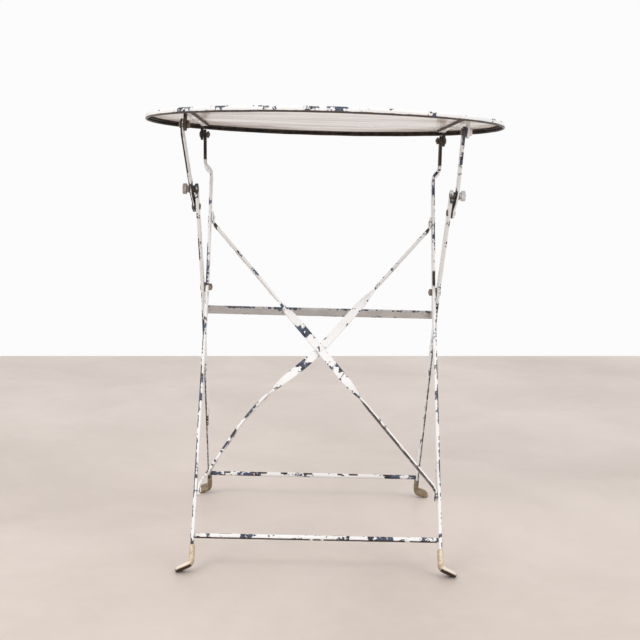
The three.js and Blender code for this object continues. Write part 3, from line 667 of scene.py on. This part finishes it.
def make_rail_rivet(word, side, where, y):
    """A rivet, flush with the sheet above and domed under the rail."""
    seat = -SHEET - 2 * GAP - RAIL_THICKNESS
    x = side * (RAIL_INSIDE + RAIL_OUTSIDE) / 2
    head = 2 * RIVET_RADIUS
    profile = [(0.0, 0.0), (-0.05 * MM, RIVET_RADIUS * 0.9), (-0.3 * MM, RIVET_RADIUS),
               (seat, RIVET_RADIUS), (seat, head)]
    profile += dome(seat, head, -2.25 * MM)

    def point(z, r, turn):
        uneven = noise.noise(Vector((cos(turn), sin(turn), y * 9 + side)))
        reach = max(r, RING_TIP) * (1 + 0.05 * uneven)
        return TOP_PLACE @ Vector((x + reach * cos(turn), y + reach * sin(turn), z))

    verts, faces = spin(profile, 28, point)
    node = f"rail_rivet_{word}_{where}"
    piece(f"{node}_peened", verts, faces, "table_top", node, RIVET)


make_top()
rivet_y = EAR_REACH - RAIL_RIVET_INSET
for word, side in SIDES:
    make_rail(word, side)
    for where, y in (("near", -rivet_y), ("middle", 0.0), ("far", rivet_y)):
        make_rail_rivet(word, side, where, y)


# ---- the two frames
def on_outer_corner(w, t):
    """1 on the outward corner of a leg's near edge."""
    return 1.0 if w < -0.7 and t < -0.2 else 0.0


def inner_leg_wear(side, at, w, t):
    """Chips down the near edge, and on the right leg also below its joggle."""
    low, high = (-420 * MM, -60 * MM) if side < 0 else (-330 * MM, -110 * MM)
    corner = on_outer_corner(w, t)
    line = corner * (1.0 if low < at.z < high else 0.35)
    if side < 0 or at.z < 0:
        return 1.15 * line
    return line + 0.8 * corner * (110 * MM < at.z < 215 * MM)


def inner_leg_dark(side, at, w, t):
    """Painted shade above the joggle, under the table, and on the right leg a dark streak by the pivot.
    """
    top = JOGGLE_START + JOGGLE_LENGTH
    above = smooth((at.z - top) / (6 * MM))
    streak = bump_at(at.z, 22 * MM, 24 * MM) if side > 0 and w < -0.6 else 0.0
    return max((0.62 if t > -0.3 or w < -0.7 else 0.3) * above, streak)


def outer_leg_wear(side, at, w, t):
    """Chips below the pivot, and on the left leg also a patch above it."""
    patch = bump_at(at.z, 85 * MM, 40 * MM) if side < 0 else 0.0
    below = 0.75 if at.z < -40 * MM else 0.2
    return on_outer_corner(w, t) * max(patch * 1.4, below)


def outer_leg_dark(side, at, w, t):
    """Dark round the thumb-screw and down the near edge, alike on both sides."""
    top = bump_at(at.z, KNEE_LENGTH + LOCK_LENGTH, 14 * MM) * 0.5
    line = 0.42 if at.z < -60 * MM and w < -0.7 and t < 0.2 else 0.0
    return max(top, line)


def make_strap(name, stations, corner, seed, place, side, body, node, rules, rule_side):
    """A painted flat bar. The rules mark where it is rusty, chipped and dark."""
    verts, faces, edges = bar_mesh(stations, corner, seed, place, side)
    marks = {"edge": edges}
    for mark, rule in zip(("rust", "wear", "dark"), rules):
        marks[mark] = bar_marks(stations, corner, rule_side, rule)
    piece(name, verts, faces, body, node, PAINTED, marks)


def leg_rust(side, at, w, t):
    """Rust by the shoe and round the pivot."""
    return 0.35 * exp(-(at.z - LEG_BOTTOM) / (30 * MM)) + 0.25 * exp(-abs(at.z) / (10 * MM))


def make_leg(kind, word, side, place, line, seed, wear, dark):
    make_strap(f"{kind}_flat_leg_{word}", flat_bar(line, BAR_THICKNESS, False), LEG_CORNER,
               seed + side, place, side, f"{kind}_frame", f"{kind}_leg_{word}",
               (leg_rust, wear, dark), side)


def inner_line():
    """The inner leg's line: it spreads above the pivot, then steps outwards below the top."""
    spread = INNER_X + SPLAY * JOGGLE_START
    line = [(INNER_X, LEG_BOTTOM), (INNER_X, 0.0), (spread, JOGGLE_START)]
    for k in range(1, 13):
        part = k / 12
        line.append((spread + (JOGGLE_X - spread) * smooth(part), JOGGLE_START + JOGGLE_LENGTH * part))
    line.append((HINGE_X, LEG_TOP))
    return line


# Sections over the toe: distance from the bend in mm, width and thickness as parts of the full.
TOE_SECTIONS = ((8, 1, 0.97), (12, 1, 0.95), (16, 1, 0.93), (19, 0.98, 0.9), (22, 0.92, 0.84),
                (24, 0.82, 0.76), (25.5, 0.68, 0.64), (26.4, 0.5, 0.5), (26.9, 0.3, 0.34),
                (27, 0.1, 0.12))


def shoe_sections(x):
    """Sections (turn, centre, width, thickness) from the socket down and out to the tip."""
    sections = []

    def put(turn, px, pz, wide, thick):
        sections.append((turn, Vector((px, 0, pz)), SHOE_WIDTH * wide, SHOE_THICKNESS * thick))

    top = -(FOOT_BEND - SHOE_UPRIGHT)
    put(0, x, top, 0.93, 0.86)
    put(0, x, top - 0.5 * MM, 0.985, 0.96)
    straight = -(FOOT_BEND - SHOE_BEND_RADIUS * tan(SHOE_BEND / 2))
    for k in range(1, 8):
        put(0, x, top - 1.5 * MM + (straight - top + 1.5 * MM) * k / 8, 1, 1)
    for k in range(13):
        turn = SHOE_BEND * k / 12
        swell = 1 - 0.06 * sin(pi * k / 12)
        px = x + SHOE_BEND_RADIUS * (1 - cos(turn))
        put(turn, px, straight - SHOE_BEND_RADIUS * sin(turn), 1, swell)
    for reach, wide, thick in TOE_SECTIONS:
        r = reach * MM
        px = x + r * sin(SHOE_BEND)
        put(SHOE_BEND, px, -FOOT_BEND - r * cos(SHOE_BEND), wide, thick)
    return sections


def rounded(part):
    """Squares off a circle's sine or cosine into the shoe's rounded section."""
    return copysign(abs(part) ** 0.72, part)


def make_shoe(where, word, side, x, place, body, material, seed):
    """A yellow metal shoe: it sleeves the leg, bends outwards and rests on its toe."""
    verts, pale, dark = [], [], []
    count = 32
    bright = 0.9 if material is BRASS else 0.0
    sections = shoe_sections(x)
    for turn, at, width, thickness in sections:
        toe = turn >= SHOE_BEND * 0.7
        tip = smooth(1 - (width - SHOE_WIDTH * 0.3) / (SHOE_WIDTH * 0.6))
        through = Vector((cos(turn), 0, sin(turn)))
        for k in range(count):
            a = 2 * pi * (k + 0.5) / count
            local = at + Vector((0, rounded(cos(a)) * width / 2, 0))
            local += through * (rounded(sin(a)) * thickness / 2)
            local += (local - at).normalized() * rough_hand(local, 0.22 * MM, seed + side)
            point = to_table(place, side, local)
            point.z = max(point.z, 0.0)
            verts.append(point)
            # pale is a painted highlight on top of the toe and, weaker, on the rest of the near shoes;
            # dark is painted shade under the toe and on the shoe's sides, and darkens the tip.
            pale.append(bright * (sin(a) > -0.25) if toe else 0.25 * bright)
            sole_shade = 0.8 * (toe and sin(a) < -0.3)
            dark.append(max(0.85 * tip, sole_shade, 0.38 * (abs(cos(a)) < 0.55)))
    faces = loft_faces(len(sections), count)
    finish = (material, "brass_feet")
    piece(f"shoe_{where}_{word}", verts, faces, body, f"foot_{where}_{word}", finish,
          {"pale": pale, "dark": dark}, 60)


def make_shoe_screw(where, word, side, x, outward, place, body):
    """The dished head of the screw that pins a shoe to the edge of its leg.

    outward is -1 for the near edge and 1 for the far edge.
    """
    z = -(FOOT_BEND - SHOE_UPRIGHT + 7 * MM)
    radius = 1.4 * MM
    outside = SHOE_WIDTH / 2
    steps = ((5, 0), (5, 1), (0.7, 1), (0.25, 0.97), (0.02, 0.7), (0.3, 0.3), (0.45, 0))
    profile = [(outside - depth * MM, radius * part) for depth, part in steps]

    def point(y, r, turn):
        reach = max(r, RING_TIP / 2)
        local = (x + reach * cos(turn), outward * y, z + reach * sin(turn))
        return to_table(place, side, local)

    verts, faces = spin(profile, 20, point)
    node = f"foot_screw_{where}_{word}"
    piece(f"{node}_head", verts, faces, body, node, OILED)


def make_rod(name, leg_x, drop, place, body, node, seed):
    """A round rod with shouldered ends, peened over outside the legs."""
    inside = leg_x - BAR_THICKNESS / 2 - GAP
    outside = leg_x + BAR_THICKNESS / 2 + GAP
    shoulder = 0.6 * MM
    half = [(inside - shoulder, ROD_RADIUS), (inside, ROD_RADIUS - shoulder), (inside, RIVET_RADIUS)]
    for out, wide in ((0, 1), (0, 1.5), (0.4, 1.6), (1.0, 1.25), (1.4, 0.6), (1.4, 0)):
        half.append((outside + out * MM, RIVET_RADIUS * wide))
    steps = 90
    reach = inside - shoulder
    middle = [(-reach + 2 * reach * k / steps, ROD_RADIUS) for k in range(1, steps)]
    profile = [(-x, r) for x, r in reversed(half)] + middle + half
    marks = {"edge": [], "rust": [], "wear": [], "dark": []}

    def point(x, r, turn):
        around, up = cos(turn), sin(turn)
        size = max(r, RING_TIP)
        if r >= ROD_RADIUS:
            size += rough_hand((x, 0.3 * around * 0.01, 0.01 * up), 0.22 * MM, seed)
        patch = noise.noise(Vector((x * 24, seed, 0.4)))
        low = noise.noise(Vector((x * 60, seed, 2))) > -0.3
        high = noise.noise(Vector((x * 45, seed, 7))) > 0.12
        marks["edge"].append(max(0.0, -up - 0.35) * 1.35)
        marks["rust"].append(0.4 * exp(-(reach - min(reach, abs(x))) / (9 * MM)))
        marks["wear"].append(max(0.4, min(1.0, 4.0 * patch + 0.2)))
        marks["dark"].append(0.7 * ((up < -0.55 and low) or (up > 0.75 and high)))
        return place @ Vector((x, size * around, -drop + size * up))

    verts, faces = spin(profile, 24, point)
    piece(name, verts, faces, body, node, PAINTED, marks)


def weld_bead(side):
    """A lumpy bead up the corner between the middle bar and a leg."""
    x = side * (OUTER_X - BAR_THICKNESS / 2 - 0.5 * MM)
    y = BAR_WIDTH / 2 - 0.1 * MM
    rings = 9
    verts = []
    for k in range(rings):
        part = k / (rings - 1)
        swell = 0.35 + 0.65 * sin(pi * min(0.97, max(0.03, part)))
        size = 1.5 * MM * swell * (1 + 0.2 * (k % 2))
        at = Vector((x, y, -MID_BAR_DROP + (part - 0.5) * 0.9 * MID_BAR_HEIGHT))
        for a in turns(10):
            verts.append(OUTER_PLACE @ (at + Vector((size * cos(a), size * sin(a), 0))))
    return verts, loft_faces(rings, 10)


def middle_reflections(side, at, w, t):
    """Two darker stretches of the middle bar: painted reflections."""
    return 0.30 * bump_at(at.x, 0.19, 0.05) + 0.2 * bump_at(at.x, -0.09, 0.02)


def make_middle_bar():
    """The flat bar across the far edges of the outer legs, with a weld bead at each end."""
    stations = []
    for end in (-1, 1):
        at = (end * OUTER_OUT, BAR_WIDTH / 2 + GAP + MID_BAR_THICKNESS / 2, -MID_BAR_DROP)
        stations.append(station(at, AXIS_Z, AXIS_Y, MID_BAR_HEIGHT, MID_BAR_THICKNESS))
    stations = along(stations, 5 * MM)
    verts, faces, edges = bar_mesh(stations, STRIP_CORNER, 31, OUTER_PLACE, 1)
    dark = bar_marks(stations, STRIP_CORNER, 1, middle_reflections)
    wear = bar_marks(stations, STRIP_CORNER, 1, lambda side, at, w, t: 0.5 * (w > 0.85))
    parts = [(verts, faces)]
    for _, side in SIDES:
        parts.append(weld_bead(side))
        count = len(parts[-1][0])
        edges += [1.0] * count
        dark += [0.5] * count
        wear += [0.0] * count
    verts, faces = join(*parts)
    # Its grey paint is painted shade.
    piece("middle_flat_bar", verts, faces, "outer_frame", "middle_bar", (SHADED_BAR_PAINT, "worn_bar"),
          {"edge": edges, "dark": dark, "wear": wear})


# Where a brace arm's twist begins and ends, as parts of its length, and how far it is bowed.
PLAIN_ARM = (0.20, 0.42, 0.0)
LATE_ARM = (0.30, 0.54, 0.0)
BOWED_ARM = (0.20, 0.42, 16 * MM)
CROSSING_Z = (BRACE_TOP + BRACE_BOTTOM) / 2
TAB_X = INNER_IN - 2 * GAP - BRACE_THICKNESS / 2


def brace_arm(slope, offset, out, arm):
    """Stations from beyond the crossing out to one end. out is 1 for the right arm."""
    twist_from, twist_to, bow = arm
    steps = 96
    straight = 0.985
    tab_start = BRACE_TAB / 2
    rise = (BRACE_TOP - BRACE_BOTTOM) / 2 - tab_start
    bar = Vector((TAB_X, 0, slope * rise)).normalized()
    in_plane = Vector((-bar.z, 0, bar.x))
    reach_x = TAB_X + (SPLAY * (BRACE_TOP - tab_start) if out * slope > 0 else 0.0)

    stations = []
    for k in range(1, steps + 1):
        part = straight * k / steps
        turned_by = smooth((part - twist_from) / (twist_to - twist_from)) * pi / 2
        settle = 1 - smooth((part - 0.1) / (twist_to - 0.1))
        at = Vector((out * reach_x * part, offset * settle, CROSSING_Z + out * slope * rise * part))
        at += in_plane * bow * sin(pi * part) ** 1.5
        across = in_plane * cos(turned_by) + AXIS_Y * sin(turned_by)
        through = -in_plane * sin(turned_by) + AXIS_Y * cos(turned_by)
        stations.append(station(at, across, through, BRACE_WIDTH, BRACE_THICKNESS))
    last = stations[-1]
    for reach in (0.0, 1.5, 3, 5, 7, 9, 11, 13, 15.5, 18):
        blend = smooth((reach + 2) / 5)
        z = CROSSING_Z + out * slope * (rise + reach * MM)
        flat = out * (TAB_X + SPLAY * max(z, 0.0))
        x = last["at"].x + (flat - last["at"].x) * blend
        through = last["through"].lerp(Vector((slope, 0, 0)), blend)
        stations.append(station((x, 0, z), AXIS_Y, through, BRACE_WIDTH, BRACE_THICKNESS))
    return stations


def brace_rust(side, at, w, t):
    """A little rust by the crossing."""
    return 0.10 * exp(-abs(at.x) / (22 * MM))


def brace_wear(side, at, w, t):
    """Big chips by the crossing, and a rubbed lower left arm."""
    x = at.x / TAB_X
    if side < 0:
        return 0.62 * bump_at(x, -0.13, 0.07)
    return 0.62 * bump_at(x, -0.16, 0.05) + 0.62 * bump_at(x, -0.62, 0.42)


def brace_dark(side, at, w, t):
    """The upper ends are darkened, part rust and part painted shade, and the lower right arm's upper
    face is painted shade.
    """
    x = at.x / TAB_X
    end = 0.7 if 0.965 < abs(x) < 0.995 and at.z > 0 else 0.0
    shaded_face = 0.44 if side < 0 and x > 0.30 and t > 0.2 else 0.0
    return max(end, shaded_face)


def make_brace(name, slope, offset, node, seed, left_arm, right_arm):
    """A flat strip twisted a quarter turn on each side of the crossing, with tabbed ends."""
    right = brace_arm(slope, offset, 1, right_arm)
    left = brace_arm(slope, offset, -1, left_arm)
    middle = dict(right[0], at=Vector((0, offset, CROSSING_Z)))
    stations = list(reversed(left)) + [middle] + right
    make_strap(name, stations, STRIP_CORNER, seed, INNER_PLACE, 1, "inner_frame", node,
               (brace_rust, brace_wear, brace_dark), slope)


outer_line = [(OUTER_X, LEG_BOTTOM), (OUTER_X, 0.0), (OUTER_X + LOCK_SPREAD, KNEE_LENGTH + LOCK_LENGTH)]
for word, side in SIDES:
    make_leg("inner", word, side, INNER_PLACE, inner_line(), 3, inner_leg_wear, inner_leg_dark)
    make_leg("outer", word, side, OUTER_PLACE, outer_line, 7, outer_leg_wear, outer_leg_dark)
    make_shoe("near", word, side, INNER_X, INNER_PLACE, "inner_frame", BRASS, 40)
    make_shoe("far", word, side, OUTER_X, OUTER_PLACE, "outer_frame", FAR_FEET, 44)
    make_shoe_screw("near", word, side, INNER_X, -1, INNER_PLACE, "inner_frame")
    make_shoe_screw("far", word, side, OUTER_X, 1, OUTER_PLACE, "outer_frame")
make_rod("inner_rod", INNER_X, INNER_ROD_DROP, INNER_PLACE, "inner_frame", "inner_bottom_rod", 51)
make_rod("outer_rod", OUTER_X, OUTER_ROD_DROP, OUTER_PLACE, "outer_frame", "outer_bottom_rod", 53)
make_middle_bar()
brace_offset = BRACE_THICKNESS / 2 + GAP / 2
make_brace("brace_strip_rising_right", 1, brace_offset, "brace_rising_right", 61, BOWED_ARM, LATE_ARM)
make_brace("brace_strip_rising_left", -1, -brace_offset, "brace_rising_left", 63, PLAIN_ARM, PLAIN_ARM)


# ---- bolts, nuts and rivets
def make_bolt(node, axis, shank, tip, seat, radius, height, finish, seed):
    """A domed bolt or rivet along X with an uneven, hammered head."""
    out = 1 if seat > tip else -1
    chamfer = 0.5 * MM
    profile = [(tip, 0.0), (tip, shank - chamfer), (tip + out * chamfer, shank), (seat, shank)]
    lip = 0.4 * MM
    profile += [(seat, radius * 0.97), (seat + out * lip * 0.5, radius), (seat + out * lip, radius)]
    profile += dome(seat + out * lip, radius, out * (height - lip))

    def lobes(turn, r):
        at = Vector((cos(turn) * 1.4, sin(turn) * 1.4, seed + r * 300))
        return r * (1 + 0.035 * noise.noise(at))

    verts, faces = turned(profile, axis, 36, lobes)
    piece(f"{node}_round", verts, faces, axis[-1], node, finish, sharp=50)


def make_nut(node, axis, corners, low, high, finish):
    """A hexagonal nut with chamfered corners."""
    apothem = corners / 2 * cos(pi / 6)
    chamfer = 0.7 * MM
    profile = [(low, BORE), (low, apothem * 0.97), (low + chamfer, corners),
               (high - chamfer, corners), (high, apothem * 0.97), (high, BORE)]

    def lobes(turn, r):
        if r <= apothem:
            return r
        sector = (turn + pi / 6) % (pi / 3) - pi / 6
        return min(apothem / cos(sector), corners / 2 * 0.975)

    verts, faces = turned(profile, axis, 48, lobes)
    piece(f"{node}_hexagon", verts, faces, axis[-1], node, finish, sharp=30)


def make_washer(node, axis, radius, low, high, finish, round_over=0.25):
    """A washer with rounded rims."""
    rim = (high - low) * round_over
    profile = [(low, BORE), (low, radius - rim), (low + rim, radius),
               (high - rim, radius), (high, radius - rim), (high, BORE)]
    verts, faces = turned(profile, axis)
    piece(f"{node}_disc", verts, faces, axis[-1], node, finish, sharp=50)


EAR_IN = RAIL_OUTSIDE - RAIL_THICKNESS
PIN = 3.2 * MM
BORE = 3.5 * MM
TAB_SEAT = TAB_X - BRACE_THICKNESS / 2 - GAP
HINGE_HEAD = (6 * MM, 2.6 * MM)
KNEE_HEAD = (5.5 * MM, 1.8 * MM)
NUT_CORNERS = 12.5 * MM
NUT_HEIGHT = 4 * MM
NUT_OVERHANG = 1.2 * MM
BOLT_REACH = NUT_HEIGHT + NUT_OVERHANG
LINK_TOP_X = {"left": 225 * MM, "right": 214 * MM}

for word, side in SIDES:
    pivot = (0, 0, INNER_PLACE, side, "inner_frame")
    nut_out = INNER_IN - GAP
    nut_in = nut_out - 4.5 * MM
    make_bolt(f"pivot_bolt_{word}", pivot, PIN, nut_in - NUT_OVERHANG, OUTER_OUT + GAP,
              6.5 * MM, 1.5 * MM, RUSTED, 1)
    make_washer(f"pivot_washer_{word}", pivot, 8 * MM, INNER_OUT + GAP, OUTER_IN - GAP, WASHER)
    make_nut(f"pivot_nut_{word}", pivot, 13 * MM, nut_in, nut_out, RUSTED)
    for end, z in (("upper", BRACE_TOP), ("lower", BRACE_BOTTOM)):
        spread = SPLAY * max(z, 0.0)
        tab = (0, z, INNER_PLACE, side, "inner_frame")
        make_bolt(f"brace_rivet_{end}_{word}", tab, RIVET_RADIUS, INNER_OUT + 1.2 * MM + spread,
                  TAB_SEAT + spread, 4.6 * MM, 2 * MM, RIVET, 2)
    hinge = (EAR_REACH, -EAR_DROP, TOP_PLACE, side, "table_top")
    nut_out = HINGE_X - BAR_THICKNESS / 2 - 2 * GAP - GAP
    make_bolt(f"hinge_bolt_far_{word}", hinge, PIN, nut_out - 5.5 * MM, RAIL_OUTSIDE + GAP,
              *HINGE_HEAD, OILED, 3)
    make_nut(f"hinge_nut_far_{word}", hinge, NUT_CORNERS, nut_out - NUT_HEIGHT, nut_out, OILED)
    knee = (0, KNEE_LENGTH, OUTER_PLACE, side, "outer_frame")
    make_bolt(f"knee_pin_{word}", knee, PIN, OUTER_OUT + KNEE_SPREAD + 0.3 * MM,
              OUTER_IN + KNEE_SPREAD - 1.5 * GAP, *KNEE_HEAD, OILED, 4)

# The left link lies outside its ear and the right link inside, so the two near bolts differ.
hinge = (-EAR_REACH, -EAR_DROP, TOP_PLACE, -1, "table_top")
nut_out = EAR_IN - GAP
left_seat = LINK_TOP_X["left"] + LINK_THICKNESS / 2 + GAP
make_bolt("hinge_bolt_near_left", hinge, PIN, nut_out - BOLT_REACH, left_seat, *HINGE_HEAD,
          RUSTED, 5)
make_nut("hinge_nut_near_left", hinge, NUT_CORNERS, nut_out - NUT_HEIGHT, nut_out, OILED)
hinge = (-EAR_REACH, -EAR_DROP, TOP_PLACE, 1, "table_top")
nut_in = RAIL_OUTSIDE + GAP
right_seat = LINK_TOP_X["right"] - LINK_THICKNESS / 2 - GAP
right_out = LINK_TOP_X["right"] + LINK_THICKNESS / 2
make_bolt("hinge_bolt_near_right", hinge, PIN, nut_in + BOLT_REACH, right_seat, *HINGE_HEAD,
          OILED, 6)
make_nut("hinge_nut_near_right", hinge, NUT_CORNERS, nut_in, nut_in + NUT_HEIGHT, PAINTED)
make_washer("hinge_washer_near_right", hinge, 7.5 * MM, right_out + GAP, EAR_IN - GAP, WASHER)


def make_crossing_rivet():
    """The rivet where the braces cross, with a hammered round head on each side."""
    seat = BRACE_THICKNESS + GAP
    radius = 5 * MM
    lip = 0.3 * MM
    half = [(seat, radius * 0.96), (seat + lip, radius)] + dome(seat + lip, radius, 1.7 * MM)
    shank = [(-seat, RIVET_RADIUS), (seat, RIVET_RADIUS)]
    profile = [(-y, r) for y, r in reversed(half)] + shank + half

    def point(y, r, a):
        uneven = noise.noise(Vector((cos(a), sin(a), y * 200)))
        size = max(r, RING_TIP) * (1 + 0.05 * uneven)
        return INNER_PLACE @ Vector((size * cos(a), y, CROSSING_Z + size * sin(a)))

    verts, faces = spin(profile, 32, point)
    piece("brace_crossing_rivet", verts, faces, "inner_frame", "brace_rivet", RIVET,
          {"wear": [0.8 * (v.x < 0) for v in verts]}, 50)


make_crossing_rivet()


# ---- links and thumb-screws
LINK_KNEE_X = 208 * MM + KNEE_SPREAD
LINK_LOCK_X = 210.9 * MM + LOCK_SPREAD
KNOB_RADIUS = 8.5 * MM
KNOB_THICKNESS = 9 * MM
SCREW_RADIUS = 3 * MM
LOCK_SEAT = LINK_LOCK_X + LINK_THICKNESS / 2 + 0.9 * MM
WASHER_END = LOCK_SEAT + 1.2 * MM


def link_rust(side, at, w, t):
    """Rust round both ends."""
    top = abs(at.z - LINK_LENGTH)
    return 0.4 * exp(-abs(at.z) / (10 * MM)) + 0.3 * exp(-top / (12 * MM))


def link_wear(side, at, w, t):
    """Chips down the left link's near edge, and at the right link's top."""
    if side < 0:
        return 1.1 * on_outer_corner(w, t)
    return 0.6 * (w < -0.7) * bump_at(at.z / LINK_LENGTH, 0.85, 0.3)


def link_dark(side, at, w, t):
    """Painted shade on the face behind the thumb-screw, and a dark chipped stripe up the left link."""
    above = smooth((at.z / LINK_LENGTH - 0.40) / 0.1)
    stripe = 0.72 * above if side < 0 and w < -0.6 and t < 0.1 else 0.0
    lock = 0.62 if t > 0.2 and at.z < 46 * MM else 0.0
    return max(stripe, lock)


def make_link(word, side):
    """The flat link from the knee up to its near ear, stepped sideways to meet it."""
    top_x = LINK_TOP_X[word]
    line = [(LINK_KNEE_X, 0.0), (LINK_KNEE_X, 9 * MM),
            (LINK_LOCK_X - 0.6 * MM, LOCK_LENGTH - 8 * MM),
            (LINK_LOCK_X + 0.6 * MM, LOCK_LENGTH + 8 * MM),
            (top_x, LINK_LENGTH - 13 * MM), (top_x, LINK_LENGTH)]
    make_strap(f"link_strap_{word}", flat_bar(line, LINK_THICKNESS, True), LEG_CORNER, 71 + side,
               LINK_PLACE, side, f"{word}_link", f"upper_link_{word}",
               (link_rust, link_wear, link_dark), side)


def make_thumb_screw(word, side):
    """A knurled thumb-screw: a disc of fine ridges, a collar and a plain shank."""
    start = WASHER_END + GAP
    end = start + KNOB_THICKNESS
    tip = OUTER_OUT + LOCK_SPREAD + 0.6 * MM
    teeth = 36
    chamfer = 0.9 * MM
    profile = [(tip, 0.0), (tip, SCREW_RADIUS - 0.5 * MM), (tip + 0.5 * MM, SCREW_RADIUS),
               (start, SCREW_RADIUS), (start, 5.3 * MM), (start + 1.7 * MM, 5.5 * MM),
               (start + 2 * MM, KNOB_RADIUS - chamfer), (start + 2 * MM + chamfer * 0.8, KNOB_RADIUS),
               (start + 5 * MM, KNOB_RADIUS), (end - chamfer, KNOB_RADIUS),
               (end, KNOB_RADIUS - chamfer)]
    face = ((0, 6), (-0.5, 5.2), (-0.5, 3.4), (0.3, 2.8), (0.6, 1.6), (0.6, 0))
    profile += [(end + x * MM, r * MM) for x, r in face]

    def lobes(turn, r):
        if r < KNOB_RADIUS - chamfer:
            return r
        return r - 0.34 * MM * (0.5 - 0.5 * cos(teeth * turn))

    axis = (0, LOCK_LENGTH, LINK_PLACE, side, f"{word}_thumb_screw")
    verts, faces = turned(profile, axis, 8 * teeth, lobes)
    node = f"thumb_screw_{word}"
    metal = KNOB if side < 0 else PALE_KNOB
    piece(f"{node}_knurled", verts, faces, axis[-1], node, (metal, "knob_steel"), sharp=32)


for word, side in SIDES:
    make_link(word, side)
    knee = (0, 0, LINK_PLACE, side, f"{word}_link")
    make_bolt(f"knee_stud_{word}", knee, PIN, OUTER_OUT + KNEE_SPREAD + 0.8 * MM,
              LINK_KNEE_X + LINK_THICKNESS / 2 + GAP, *KNEE_HEAD, RUSTED, 8)
    boss = OUTER_OUT + LOCK_SPREAD + 0.5 * MM
    lock = (0, LOCK_LENGTH, LINK_PLACE, side, f"{word}_link")
    make_washer(f"thumb_boss_{word}", lock, 6 * MM, boss, boss + 2.8 * MM, OILED, 0.15)
    lock = (0, LOCK_LENGTH, LINK_PLACE, side, f"{word}_thumb_washer")
    make_washer(f"thumb_washer_{word}", lock, 7 * MM, LOCK_SEAT, WASHER_END, WASHER)
    make_thumb_screw(word, side)


# ---- floor and light
# The far edge runs askew, so that it looks level to the tilted camera.
FLOOR_HALF = 3.4
FLOOR_FRONT = -2.6
FLOOR_FAR_RIGHT = 2.629
FLOOR_FAR_LEFT = 1.531
LIGHT_AIM = (0, 0, 0.4)


def make_floor():
    """A plain pale floor."""
    n = Nodes("pale_floor")
    mottle = n.noise(1.6, 8, 0.62, 0.4)
    fine = n.noise(34, 6, 0.6)
    colour = n.mix(n.ramp(mottle, 0.35, 0.70), (0.66, 0.57, 0.515, 1), (0.54, 0.465, 0.415, 1))
    colour = n.mix(n.math("MULTIPLY", n.ramp(fine, 0.45, 0.75), 0.18), colour, (0.68, 0.62, 0.57, 1))
    roughness = n.math("MULTIPLY_ADD", mottle, 0.25, 0.35)
    material = n.finish(colour, roughness, n.bump(fine, 0.0006, 0.3))
    mesh = bpy.data.meshes.new("floor")
    verts = [(-FLOOR_HALF, FLOOR_FRONT, 0), (FLOOR_HALF, FLOOR_FRONT, 0),
             (FLOOR_HALF, FLOOR_FAR_RIGHT, 0), (-FLOOR_HALF, FLOOR_FAR_LEFT, 0)]
    mesh.from_pydata(verts, [], [(0, 1, 2, 3)])
    mesh.materials.append(material)
    floor = add("floor", mesh)


def make_light(name, place, size, power, colour):
    data = bpy.data.lights.new(name, "AREA")
    data.shape = "RECTANGLE"
    data.size, data.size_y = size
    data.energy = power
    data.color = colour
    light = add(name, data)
    light.location = place
    light.rotation_euler = (Vector(LIGHT_AIM) - Vector(place)).to_track_quat("-Z", "Y").to_euler()


def make_world():
    world = bpy.data.worlds.new("studio")
    world.use_nodes = True
    background = world.node_tree.nodes["Background"]
    background.inputs["Color"].default_value = (1.0, 1.0, 1.0, 1)
    background.inputs["Strength"].default_value = 0.97
    bpy.context.scene.world = world


make_floor()
make_world()
make_light("key", (-1.6, -1.9, 2.6), (1.6, 1.2), 26, (1.0, 0.98, 0.96))
make_light("fill", (1.9, -1.5, 2.2), (1.4, 1.2), 14, (0.97, 0.98, 1.0))
